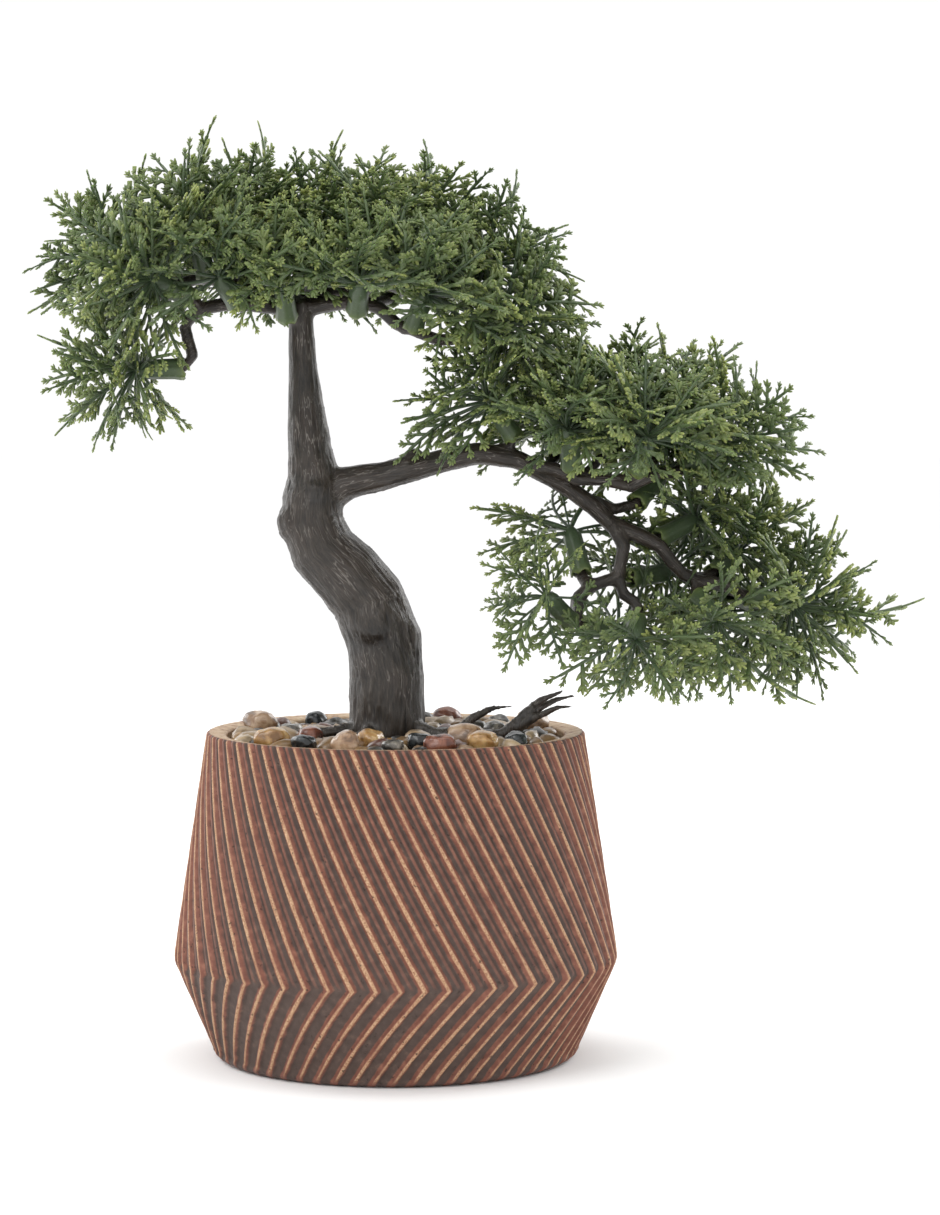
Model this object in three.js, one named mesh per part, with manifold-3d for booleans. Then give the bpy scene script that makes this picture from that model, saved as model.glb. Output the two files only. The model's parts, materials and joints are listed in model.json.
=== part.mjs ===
// A bonsai tree in a ribbed ceramic pot, in millimetres, +Z up.
// The origin is the centre of the pot's flat underside. The tree leans to +X, and -Y is its front.
import * as THREE from "three";
import { mergeVertices } from "three/addons/utils/BufferGeometryUtils.js";
import Module from "manifold-3d";

const wasm = await Module();
wasm.setup();

// ---------------------------------------------------------------- driving dimensions

const CLEARANCE = 0.3; // between two pieces that touch

const POT = {
  height: 88,
  rimRadius: 50.8, // at the crests of the ribs
  shoulderRadius: 60,
  shoulderHeight: 27,
  footRadius: 49.6,
  footHeight: 3.2, // the rounded edge under the lowest end of the ribs
  baseRadius: 46.5, // the flat face that it stands on
  wall: 4.4,
  floor: 7,
  ribs: 60,
  ribHeight: 1.1,
  ribHalfWidth: 0.2, // a share of the rib spacing
  upperTwist: 32.3, // degrees that a rib turns from the rim down to the shoulder
  lowerTwist: -21, // and from there down to the foot
};

const GRAVEL_BELOW_RIM = 3; // the top of the packed bed
const TREE_BELOW_RIM = 6; // the level inside the bed that the tree's heights are measured from
const BED_THICKNESS = 9;
const PEG = { radius: 6, length: 30 }; // the trunk's peg, which stands in the block under the gravel

const TWIG = { radius: 1.9, spigotRadius: 1.6, spigotLength: 11 };
const COLLAR = { wall: 1.1, cap: 1.6 };
const FROND = { length: 29, valley: 5.5, ball: 3.6 }; // tip, notch between two fronds, and back of the ball
const CORNER = 0.99; // the cosine within which a point of the ball is one that a frond is drawn from
const BACK = -0.7; // the cosine past which it is on the collar's side
const TWIG_BEND = 0.4; // the share of a twig that runs straight at its collar
const GOLDEN_TURN = 2.4; // radians from one spray or stone to the next, so that none stand alike
const FROND_TO_WOOD = 1; // air between a frond and any limb or collar that it passes
const SPRAY_TO_SPRAY = 0.8; // air between neighbouring sprays
const SPRAY_ABOVE_RIM = 1;

const STONE = { length: 9.5, width: 7.5, thickness: 6 };

const SIDES = { turned: 48, trunk: 14, limb: 7, collar: 6, twig: 5, root: 5 }; // flats around each round piece

// ---------------------------------------------------------------- materials

const material = (color, roughness) => new THREE.MeshStandardMaterial({ color, roughness, metalness: 0 });
const ceramic = material("#8a6456", 0.75);
const filler = material("#5d6b4a", 0.95);
const gravel = material("#8d8272", 0.7);
const bark = material("#453a33", 0.5);
const foliage = material("#3f6137", 0.55);
const stoneColours = ["#c9a878", "#34383a", "#b39a7c", "#6f6a62", "#8b5a48"];

// ---------------------------------------------------------------- solids

// A closed three.js geometry as a solid that can be joined and cut.
function solidOf(geometry) {
  const bare = geometry.clone();
  bare.deleteAttribute("normal");
  bare.deleteAttribute("uv");
  const merged = mergeVertices(bare, 1e-4);
  return new wasm.Manifold(
    new wasm.Mesh({
      numProp: 3,
      vertProperties: merged.attributes.position.array,
      triVerts: new Uint32Array(merged.index.array),
    }),
  );
}

// A solid back as a geometry, with its points measured from origin.
function geometryOf(solid, origin = new THREE.Vector3()) {
  const { vertProperties, triVerts } = solid.getMesh();
  const geometry = new THREE.BufferGeometry();
  geometry.setAttribute("position", new THREE.BufferAttribute(new Float32Array(vertProperties), 3));
  geometry.setIndex(new THREE.BufferAttribute(new Uint32Array(triVerts), 1));
  geometry.translate(-origin.x, -origin.y, -origin.z);
  return geometry;
}

const joined = (solids) => solids.reduce((sum, solid) => sum.add(solid));

// The outer skin of the largest piece, with any bubble inside it filled.
const largestPiece = (solid) => solid.decompose().reduce((a, b) => (b.volume() > a.volume() ? b : a));

// A straight rod from one point to another.
function rod(from, to, radius, sides) {
  const geometry = new THREE.CylinderGeometry(radius, radius, from.distanceTo(to), sides);
  const turn = new THREE.Quaternion().setFromUnitVectors(
    new THREE.Vector3(0, 1, 0),
    to.clone().sub(from).normalize(),
  );
  geometry.applyQuaternion(turn);
  geometry.translate(...from.clone().add(to).multiplyScalar(0.5));
  return solidOf(geometry);
}

// A cylinder whose rings are moved along a route. Each ring has a centre, a direction along and a radius.
function sweep(rings, sides) {
  const steps = rings.length - 1;
  const geometry = new THREE.CylinderGeometry(1, 1, 1, sides, steps);
  const side = new THREE.Vector3(0, 1, 0);
  const frames = rings.map(({ centre, along, radius }) => {
    side.addScaledVector(along, -side.dot(along)).normalize();
    return { centre, radius, side: side.clone(), other: side.clone().cross(along) };
  });
  const position = geometry.attributes.position;
  const point = new THREE.Vector3();
  for (let i = 0; i < position.count; i++) {
    point.fromBufferAttribute(position, i);
    const { centre, side, other, radius } = frames[Math.round((point.y + 0.5) * steps)];
    const placed = centre
      .clone()
      .addScaledVector(side, point.x * radius)
      .addScaledVector(other, point.z * radius);
    position.setXYZ(i, ...placed);
  }
  return solidOf(geometry);
}

// Rings along a curve, whose radius at share t of the way is radiusAt(t).
function ringsAlong(curve, radiusAt, steps) {
  return Array.from({ length: steps + 1 }, (_, i) => ({
    centre: curve.getPoint(i / steps),
    along: curve.getTangent(i / steps),
    radius: radiusAt(i / steps),
  }));
}

// ---------------------------------------------------------------- pot

// The outer radius at a height, at the crests of the ribs. The taper runs on above the rim.
function potRadius(z) {
  const stations = [
    [0, POT.baseRadius],
    [POT.footHeight, POT.footRadius],
    [POT.shoulderHeight, POT.shoulderRadius],
    [POT.height, POT.rimRadius],
  ];
  const next = Math.max(1, stations.findIndex(([height], i) => height >= z || i === stations.length - 1));
  const [lowZ, lowR] = stations[next - 1];
  const [highZ, highR] = stations[next];
  return lowR + ((highR - lowR) * (z - lowZ)) / (highZ - lowZ);
}

// How far a rib has turned at a height, in radians from where it is at the rim.
function ribTurn(z) {
  const { height, shoulderHeight, upperTwist, lowerTwist } = POT;
  const upper = Math.min(1, (height - z) / (height - shoulderHeight));
  const lower = Math.max(0, (shoulderHeight - z) / shoulderHeight);
  return THREE.MathUtils.degToRad(upperTwist * upper + lowerTwist * lower);
}

function potBody() {
  const heights = [0, POT.footHeight, (POT.footHeight + POT.shoulderHeight) / 2, POT.shoulderHeight];
  const upperSteps = 3;
  for (let i = 1; i <= upperSteps; i++)
    heights.push(POT.shoulderHeight + ((POT.height - POT.shoulderHeight) * i) / upperSteps);
  const profile = [-POT.ribHalfWidth, 0, POT.ribHalfWidth]; // valley, crest, valley, as shares of the spacing
  const around = POT.ribs * profile.length;
  const geometry = new THREE.CylinderGeometry(1, 1, 1, around, heights.length - 1);
  const position = geometry.attributes.position;
  for (let i = 0; i < position.count; i++) {
    const onAxis = Math.hypot(position.getX(i), position.getZ(i)) < 0.5;
    const level = Math.round((position.getY(i) + 0.5) * (heights.length - 1));
    const z = heights[level];
    const step = Math.round((Math.atan2(position.getX(i), position.getZ(i)) / (2 * Math.PI)) * around);
    const place = ((step % profile.length) + profile.length) % profile.length;
    const rib = (step - place) / profile.length;
    const turn = ((rib + profile[place]) / POT.ribs) * 2 * Math.PI + ribTurn(z);
    const valley = profile[place] !== 0 && level > 0;
    const radius = onAxis ? 0 : potRadius(z) - (valley ? POT.ribHeight : 0);
    position.setXYZ(i, radius * Math.sin(turn), -radius * Math.cos(turn), z);
  }
  return solidOf(geometry);
}

// The cavity's radius at a height: the wall's thickness inside the valleys of the ribs.
const cavityRadius = (z) => potRadius(z) - POT.ribHeight - POT.wall;

// A turned solid that fills the cavity between two heights, less a gap.
function cavityFill(low, high, gap) {
  const between = [POT.shoulderHeight].filter((z) => z > low && z < high);
  const heights = [low, ...between, high];
  const outline = heights.map((z) => new THREE.Vector2(cavityRadius(z) - gap, z));
  const profile = [new THREE.Vector2(0, low), ...outline, new THREE.Vector2(0, high)];
  return solidOf(new THREE.LatheGeometry(profile, SIDES.turned).rotateX(Math.PI / 2));
}

const gravelTop = POT.height - GRAVEL_BELOW_RIM;
const treeBase = POT.height - TREE_BELOW_RIM;
const bedBottom = gravelTop - BED_THICKNESS;
const bedRadius = cavityRadius(gravelTop) - CLEARANCE;
const pot = potBody().subtract(cavityFill(POT.floor, POT.height + POT.wall, 0));

// ---------------------------------------------------------------- trunk and limbs

// From here on, heights are measured from treeBase.
// Each limb is a list of points along its middle: x, y, z and the radius there.
const LIMBS = {
  trunk: [
    [-2.4, 0, -1.5, 10.6],
    [-2.4, 0, 8.9, 10.2],
    [-2.4, 0, 20.4, 10.0],
    [-3.2, 0, 30.3, 10.2],
    [-7.2, 0, 41, 10.0],
    [-13.4, 0, 48.5, 9.6],
    [-19.6, 0, 54.9, 9.1],
    [-22.5, 0, 62.5, 8.5],
    [-22.2, 0, 68.6, 8.0],
    [-22, 0.5, 74.5, 6.9],
    [-23, 1, 82.6, 5.9],
    [-24.1, 1, 94.6, 4.7],
    [-24.8, 0.5, 106.4, 3.7],
    [-25.1, 0, 116.6, 3.4],
    [-25.2, 0, 121, 3.6],
  ],
  sideLimb: [
    [-19, 0, 69, 5.4],
    [-13.4, -0.5, 72.6, 4.8],
    [-8, -1, 73.7, 4.4],
    [-2.1, -1.5, 74.8, 4.0],
    [4, -2, 76.7, 4.0],
    [9.6, -2, 77.7, 3.4],
    [16.1, -2.5, 79.6, 3.4],
    [22.8, -3, 80.7, 3.2],
    [33, -4, 78.8, 2.8],
    [40.2, -4.5, 75, 2.7],
    [46.4, -5, 71.3, 2.6],
    [52.8, -5.5, 66.7, 2.6],
    [57.6, -6, 61.9, 2.4],
    [65.7, -6, 58.7, 2.2],
    [70.8, -6, 55.8, 2.1],
    [74, -5.5, 51.5, 2.0],
    [77.2, -5, 48.2, 1.9],
    [81.7, -5, 46.4, 1.8],
    [86.3, -5, 46.2, 1.8],
    [90, -5, 44.2, 1.7],
  ],
  padBough: [
    [36, -5, 77.5, 2.0],
    [43.1, -8, 76.5, 1.9],
    [48.5, -10, 73.7, 1.8],
    [55.2, -12, 73.8, 1.7],
    [62.4, -13, 72, 1.7],
    [69.7, -11, 75.5, 1.7],
  ],
  hangingBough: [
    [57.6, -6, 62.5, 2.2],
    [61, -8, 56, 2.1],
    [59.2, -10, 48, 2.0],
    [52, -11, 45.5, 1.9],
    [48.4, -11, 42.5, 1.7],
  ],
  hangingFork: [
    [59.2, -10, 48, 1.9],
    [60.8, -11, 43.3, 1.8],
    [64.6, -12, 41, 1.7],
  ],
  crownLeftLow: [
    [-25.2, 0, 119, 2.6],
    [-34.8, -4, 119.8, 2.2],
    [-43.1, -6, 120.6, 2.1],
    [-48.8, -8, 119.5, 2.0],
    [-52.3, -9, 118.2, 2.0],
    [-55.7, -10, 115, 1.8],
  ],
  crownLeftHigh: [
    [-25.2, 0, 119, 2.6],
    [-36.5, 0, 121.5, 2.2],
    [-43.1, 2, 125.6, 2.1],
    [-51.3, 4, 127.5, 1.9],
    [-57.5, 5, 126, 1.8],
    [-61, 5.4, 122.6, 1.7],
  ],
  crownRightLow: [
    [-25.2, 0, 119, 2.6],
    [-14.4, -3, 120.7, 2.1],
    [-7.8, -5, 120.7, 2.0],
    [-3.8, -6, 119, 2.0],
    [0.4, -7, 115, 1.9],
    [6.2, -8, 112.8, 1.7],
  ],
  crownRightHigh: [
    [-25.2, 0, 119, 2.6],
    [-17.4, 4, 124, 2.2],
    [-4, 8, 126.5, 1.8],
  ],
  crownBack: [
    [-25.2, 0, 119, 2.6],
    [-28, 10, 122.5, 2.1],
    [-29, 20, 124, 1.8],
  ],
};

// The surface roots, which run out over the gravel. x and y are shares of the bed's radius, and the rest is in mm.
const ROOTS = [
  [[0.09, -0.07, 6.5, 3.2], [0.26, -0.18, 5.6, 2], [0.46, -0.22, 5.3, 1.7], [0.64, -0.2, 6, 1.6], [0.7, -0.19, 8.5, 1.7]],
  [[0.69, -0.19, 7.5, 1.8], [0.77, -0.18, 11.5, 1.7], [0.86, -0.18, 15, 1.2], [0.99, -0.2, 17.5, 0.6]],
  [[0.73, -0.19, 9.5, 1.6], [0.84, -0.13, 12.4, 1.3], [0.95, -0.11, 14.8, 1], [1.06, -0.09, 15.8, 0.5]],
  [[0.7, -0.2, 7, 1.6], [0.84, -0.22, 10.8, 1.3], [0.95, -0.24, 13.2, 0.9], [1.05, -0.26, 13.8, 0.5]],
  [[0.26, -0.18, 5.8, 1.6], [0.39, -0.15, 7.2, 1.5], [0.46, -0.13, 10, 1.3], [0.57, -0.11, 12.4, 1], [0.7, -0.11, 13, 0.5]],
  [[-0.18, -0.04, 6.6, 3.2], [-0.4, -0.13, 5.6, 2], [-0.62, -0.2, 5.5, 1.6], [-0.84, -0.24, 6.4, 0.6]],
  [[-0.11, -0.13, 6.4, 3], [-0.2, -0.31, 5.5, 1.9], [-0.29, -0.46, 5.2, 1]],
  [[0, 0.13, 6.4, 3], [0.13, 0.31, 5.5, 1.8], [0.29, 0.44, 5.2, 1]],
  [[-0.13, 0.11, 6.4, 3], [-0.29, 0.26, 5.5, 1.8], [-0.48, 0.33, 5.2, 1]],
].map((points) => points.map(([x, y, z, radius]) => [x * bedRadius, y * bedRadius, z, radius]));

// The scars of lost branches, as swellings on the bark: x, y, z, and half the width, depth and height.
const KNOTS = [
  [-5.2, -7.4, 32.5, 6, 5, 3.4],
  [-27, -1.5, 62, 4.8, 5.2, 6.4],
  [-21, -5.4, 69.5, 3.6, 3.6, 3],
  [5, -2, 80.2, 2.8, 2.4, 2],
];

function curveOf(points) {
  const middle = points.map(([x, y, z]) => new THREE.Vector3(x, y, z));
  return new THREE.CatmullRomCurve3(middle, false, "centripetal");
}

// A tapered limb along its points, made thicker all round by extra.
function limb(points, sides, extra) {
  const radiusAt = (t) => {
    const place = Math.min(t * (points.length - 1), points.length - 1.000001);
    const i = Math.floor(place);
    return points[i][3] + (points[i + 1][3] - points[i][3]) * (place - i) + extra;
  };
  return sweep(ringsAlong(curveOf(points), radiusAt, points.length - 1), sides);
}

// ---------------------------------------------------------------- sprays of foliage

// name, the limb that its twig leaves, the share of the way along it, the collar's mouth, the way that it points
const SPRAYS = [
  ["spray_crown_far_left_low", "crownLeftLow", 1, [-55.5, -11.5, 103.5], [-1, -0.1, -0.05]],
  ["spray_crown_left_low", "crownLeftLow", 0.75, [-54, -12.5, 122], [-0.75, -0.6, 0.35]],
  ["spray_crown_far_left", "crownLeftHigh", 1, [-64, 6.5, 123.5], [-0.72, 0.1, 0.66]],
  ["spray_crown_left_front", "crownLeftHigh", 0.6, [-50, -3.5, 127.5], [-0.2, -0.5, 0.85]],
  ["spray_crown_left_top", "crownLeftHigh", 0.4, [-38, 3, 127], [0, 0.1, 1]],
  ["spray_crown_front", "crownLeftLow", 0.05, [-28.5, -7, 116.5], [-0.05, -0.72, 0.69]],
  ["spray_crown_top", "crownRightHigh", 0.3, [-23, -1, 126], [0.1, 0, 1]],
  ["spray_crown_right_front_top", "crownRightHigh", 0.5, [-5.5, 1.5, 126], [0.05, -0.4, 0.9]],
  ["spray_crown_right_top", "crownRightHigh", 1, [6, 7, 125.5], [0.2, 0.2, 0.95]],
  ["spray_crown_far_right", "crownRightHigh", 1, [13.5, 6, 124], [0.85, 0.1, 0.5]],
  ["spray_crown_right_front", "crownRightLow", 0.72, [5, -10, 114], [0.25, -0.65, 0.7]],
  ["spray_crown_right_low", "crownRightLow", 1, [15.5, -7, 111], [0.95, -0.1, 0.3]],
  ["spray_crown_back_left", "crownBack", 0.6, [-40.5, 23, 122.5], [-0.6, 0.65, 0.5]],
  ["spray_crown_back", "crownBack", 1, [-26, 28, 122], [0, 0.7, 0.7]],
  ["spray_crown_back_right", "crownRightHigh", 0.6, [-2, 19.5, 122], [0.35, 0.75, 0.55]],
  ["spray_crown_front_right", "crownRightLow", 0.3, [-10, -12.5, 118.5], [0.1, -0.85, 0.5]],
  ["spray_crown_front_left", "crownLeftLow", 0.38, [-41, -12.5, 120], [-0.35, -0.75, 0.55]],
  ["spray_pad_inner", "sideLimb", 0.36, [32, -5, 85], [-0.55, -0.3, 0.75]],
  ["spray_pad_back_left", "sideLimb", 0.42, [43, 6, 79], [-0.1, 0.55, 0.83]],
  ["spray_pad_front_left", "padBough", 0.25, [47, -11.5, 77], [-0.1, -0.6, 0.8]],
  ["spray_pad_top", "sideLimb", 0.48, [55.5, 2, 80], [0.05, 0, 1]],
  ["spray_pad_front", "padBough", 0.62, [64.5, -13.5, 76], [0.15, -0.65, 0.72]],
  ["spray_pad_right_top", "padBough", 0.8, [69, -2, 79], [0.35, 0.2, 0.92]],
  ["spray_pad_right", "padBough", 1, [76.5, -6.5, 76.5], [0.85, -0.15, 0.5]],
  ["spray_pad_back_right", "sideLimb", 0.54, [64.5, 1, 67], [0.55, 0.5, 0.6]],
  ["spray_limb_back_high", "sideLimb", 0.66, [70.5, 0, 57.5], [0.85, 0.35, 0.42]],
  ["spray_limb_tip", "sideLimb", 1, [94, -3, 42.5], [0.97, -0.1, -0.2]],
  ["spray_limb_tip_back", "sideLimb", 0.92, [90, 1, 43.5], [0.7, 0.5, -0.4]],
  ["spray_limb_under", "sideLimb", 0.88, [81, -9, 42.5], [0.3, -0.85, -0.4]],
  ["spray_limb_back", "sideLimb", 0.84, [85, 1, 48], [0.6, 0.6, 0.45]],
  ["spray_fork_back", "hangingBough", 0.45, [62.5, -1.5, 47], [0.85, 0.5, 0.1]],
  ["spray_hanging_left", "hangingBough", 0.9, [46.5, -16.5, 36.5], [-0.5, -0.62, 0.55]],
  ["spray_hanging_top", "hangingBough", 0.72, [49.5, -7, 48.5], [-0.2, 0.35, 0.92]],
  ["spray_hanging_low", "hangingBough", 1, [49.5, -7, 34.5], [0.85, 0.5, -0.1]],
  ["spray_hanging_right", "hangingFork", 1, [64, -14.5, 36.5], [-0.05, -0.93, -0.3]],
].map(([name, parent, share, place, way]) => {
  const mouth = new THREE.Vector3(...place);
  const aim = new THREE.Vector3(...way).normalize();
  const end = mouth.clone().addScaledVector(aim, TWIG.spigotLength);
  const hub = end.clone().addScaledVector(aim, CLEARANCE + COLLAR.cap);
  return { name, parent, share, aim, mouth, end, hub };
});

// The twig's route from its limb to the collar's mouth.
function twigPath({ parent, share, aim, mouth }) {
  const start = curveOf(LIMBS[parent]).getPoint(share);
  const bend = mouth.clone().addScaledVector(aim, -TWIG_BEND * start.distanceTo(mouth));
  return new THREE.QuadraticBezierCurve3(start, bend, mouth);
}

// The twig, then the thinner spigot that the collar sits on.
function twig(spray, extra) {
  const { aim, end, mouth } = spray;
  const radius = TWIG.spigotRadius + extra;
  const tip = end.clone().addScaledVector(aim, extra);
  const stem = ringsAlong(twigPath(spray), () => TWIG.radius + extra, 2);
  return sweep([...stem, { centre: mouth, along: aim, radius }, { centre: tip, along: aim, radius }], SIDES.twig);
}

// The whole tree of trunk, limbs, roots and twigs, made thicker all round by extra.
function treeWood(extra) {
  const limbs = Object.entries(LIMBS).map(([name, points]) => limb(points, SIDES[name] ?? SIDES.limb, extra));
  const roots = ROOTS.map((points) => limb(points, SIDES.root, extra));
  const knots = KNOTS.map(([x, y, z, ...halves]) =>
    solidOf(new THREE.IcosahedronGeometry(1, 1).scale(...halves.map((half) => half + extra)).translate(x, y, z)),
  );
  const twigs = SPRAYS.map((spray) => twig(spray, extra));
  const [x, y] = LIMBS.trunk[0];
  const peg = rod(
    new THREE.Vector3(x, y, bedBottom - treeBase + CLEARANCE - PEG.length),
    new THREE.Vector3(x, y, 0),
    PEG.radius,
    SIDES.trunk,
  );
  return largestPiece(joined([...limbs, ...roots, ...knots, ...twigs, peg]));
}

const wood = treeWood(0);
const woodWithAir = treeWood(FROND_TO_WOOD);

const boreRadius = TWIG.spigotRadius + CLEARANCE;
const collarRadius = boreRadius + COLLAR.wall;

// Balls along the middle of every limb, twig and collar, for finding what comes near them.
function ballsAlong(curve, radiusAt, owner) {
  const steps = Math.ceil(curve.getLength() / 2);
  return Array.from({ length: steps + 1 }, (_, i) => ({
    centre: curve.getPoint(i / steps),
    radius: radiusAt(i / steps),
    owner,
  }));
}

const woodBalls = [
  ...[...Object.values(LIMBS), ...ROOTS].flatMap((points) =>
    ballsAlong(curveOf(points), (t) => points[Math.round(t * (points.length - 1))][3]),
  ),
  ...SPRAYS.flatMap((spray) => ballsAlong(twigPath(spray), () => TWIG.radius)),
  ...SPRAYS.flatMap((spray) =>
    ballsAlong(new THREE.LineCurve3(spray.mouth, spray.hub), () => collarRadius, spray),
  ),
];

// The collar that a spray is moulded on: a tube with a closed end, where the fronds start.
function collar({ end, aim, mouth, hub }) {
  const at = (from, by) => from.clone().addScaledVector(aim, by);
  return rod(at(mouth, CLEARANCE), hub, collarRadius, SIDES.collar).subtract(
    rod(at(mouth, -CLEARANCE), at(end, CLEARANCE), boreRadius, SIDES.collar),
  );
}

// How far a spray can grow along a direction: half the way to each neighbour, and clear of the pot's rim.
function roomAlong(spray, way) {
  let room = FROND.length;
  for (const other of SPRAYS) {
    if (other === spray) continue;
    const between = other.hub.clone().sub(spray.hub);
    const towards = way.dot(between.clone().normalize());
    if (towards > 0) room = Math.min(room, (between.length() - SPRAY_TO_SPRAY) / 2 / towards);
  }
  const floor = TREE_BELOW_RIM + SPRAY_ABOVE_RIM;
  return way.z < 0 ? Math.min(room, (spray.hub.z - floor) / -way.z) : room;
}

// The longest frond along a direction that meets no wood on the way.
function frondLength(spray, way) {
  const room = roomAlong(spray, way);
  let length = room;
  for (const { centre, radius, owner } of woodBalls) {
    if (owner === spray) continue;
    const towards = centre.clone().sub(spray.hub);
    const along = towards.dot(way);
    const aside = towards.addScaledVector(way, -along).length();
    if (along > 0 && aside < radius + FROND_TO_WOOD) length = Math.min(length, along - radius - FROND_TO_WOOD);
  }
  return Math.max(length, Math.min(room, FROND.valley));
}

// The fronds of a spray as one solid: a ball whose twelve corners are drawn out, apart from the one on the collar.
function rosette(spray, index) {
  const geometry = new THREE.IcosahedronGeometry(1, 1);
  const corners = new THREE.IcosahedronGeometry(1, 0).attributes.position;
  const corner = new THREE.Vector3().fromBufferAttribute(corners, 0);
  const turn = new THREE.Quaternion().setFromUnitVectors(corner, spray.aim);
  turn.premultiply(new THREE.Quaternion().setFromAxisAngle(spray.aim, index * GOLDEN_TURN));
  geometry.applyQuaternion(turn);
  const isCorner = (way) => {
    for (let i = 0; i < corners.count; i++)
      if (corner.fromBufferAttribute(corners, i).applyQuaternion(turn).dot(way) > CORNER) return true;
    return false;
  };
  const position = geometry.attributes.position;
  const way = new THREE.Vector3();
  for (let i = 0; i < position.count; i++) {
    way.fromBufferAttribute(position, i).normalize();
    const behind = way.dot(spray.aim) < BACK;
    const most = behind ? FROND.ball : FROND.valley;
    const radius = isCorner(way) && !behind ? frondLength(spray, way) : Math.min(most, roomAlong(spray, way));
    position.setXYZ(i, ...way.multiplyScalar(radius).add(spray.hub));
  }
  return solidOf(geometry);
}

function spraySolid(spray, index) {
  let fronds = rosette(spray, index).subtract(woodWithAir);
  for (const other of SPRAYS) {
    if (other === spray || other.hub.distanceTo(spray.hub) > 2 * FROND.length) continue;
    fronds = fronds.subtract(rod(other.mouth, other.hub, collarRadius + SPRAY_TO_SPRAY, SIDES.collar));
  }
  return largestPiece(collar(spray).add(fronds));
}

// ---------------------------------------------------------------- filling of the pot

const [trunkX, trunkY] = LIMBS.trunk[0];
const trunkHole = (radius, low, high) =>
  rod(new THREE.Vector3(trunkX, trunkY, low), new THREE.Vector3(trunkX, trunkY, high), radius, SIDES.trunk);

const trunkFoot = Math.max(...LIMBS.trunk.slice(0, 2).map((point) => point[3]));
const footLow = treeBase + LIMBS.trunk[0][2];
const block = cavityFill(POT.floor + CLEARANCE, bedBottom - CLEARANCE, CLEARANCE).subtract(
  trunkHole(PEG.radius + CLEARANCE, bedBottom - PEG.length, POT.height),
);
const bed = cavityFill(bedBottom, gravelTop, CLEARANCE)
  .subtract(trunkHole(PEG.radius + CLEARANCE, 0, POT.height))
  .subtract(trunkHole(trunkFoot + CLEARANCE, footLow - CLEARANCE, POT.height));

// ---------------------------------------------------------------- stones

const stoneSizes = [1, 0.82, 1.12, 0.74, 0.94];
const largestStone = Math.max(...stoneSizes);
const stoneReach = (STONE.length / 2) * largestStone + CLEARANCE;
const stonesTop = Math.min(POT.height, gravelTop + STONE.thickness * largestStone);
const mouthRadius = cavityRadius(stonesTop); // the wall leans in beside them

// Larger stones lie on the bed in two rings, at angles from the front that leave the roots clear.
const stonePlaces = [
  [mouthRadius - stoneReach, [-54, -36, -18, 0, 18, 36, 54, 110, 135, 160, 185, 215, 250]],
  [mouthRadius - 3 * stoneReach, [-92, -52, -12, 14, 42, 110, 172, 196]],
].flatMap(([radius, angles]) =>
  angles.map((degrees) => {
    const angle = THREE.MathUtils.degToRad(degrees);
    return [radius * Math.sin(angle), -radius * Math.cos(angle)];
  }),
);

// A tumbled pebble that lies on the bed: a rounded, slightly lopsided ellipsoid.
function stoneMesh([x, y], index) {
  const size = stoneSizes[index % stoneSizes.length];
  const geometry = new THREE.IcosahedronGeometry(0.5, 1);
  geometry.rotateZ(index * 1.9);
  geometry.scale(STONE.length * size, STONE.width * size, STONE.thickness * size);
  geometry.computeBoundingBox();
  const colour = stoneColours[index % stoneColours.length];
  const mesh = new THREE.Mesh(geometry, material(colour, 0.35));
  mesh.name = "stone_" + String(index + 1).padStart(2, "0");
  mesh.position.set(x, y, gravelTop + CLEARANCE - geometry.boundingBox.min.z);
  mesh.rotation.z = index * GOLDEN_TURN;
  return mesh;
}

// ---------------------------------------------------------------- the object

const bonsai = new THREE.Group();

function piece(name, solid, finish, group = bonsai, origin = new THREE.Vector3()) {
  const mesh = new THREE.Mesh(geometryOf(solid, origin), finish);
  mesh.name = name;
  mesh.position.copy(origin);
  group.add(mesh);
}

piece("pot", pot, ceramic);
piece("filler_block", block, filler);
piece("gravel_bed", bed, gravel);

const tree = new THREE.Group();
tree.position.z = treeBase;
bonsai.add(tree);
piece("trunk", wood, bark, tree);
SPRAYS.forEach((spray, index) => piece(spray.name, spraySolid(spray, index), foliage, tree, spray.hub));

stonePlaces.forEach((place, index) => bonsai.add(stoneMesh(place, index)));

export default bonsai;
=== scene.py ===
import json
import math

import bmesh
import bpy
import numpy as np
from mathutils import Matrix, Vector, noise
from mathutils.bvhtree import BVHTree


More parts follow.
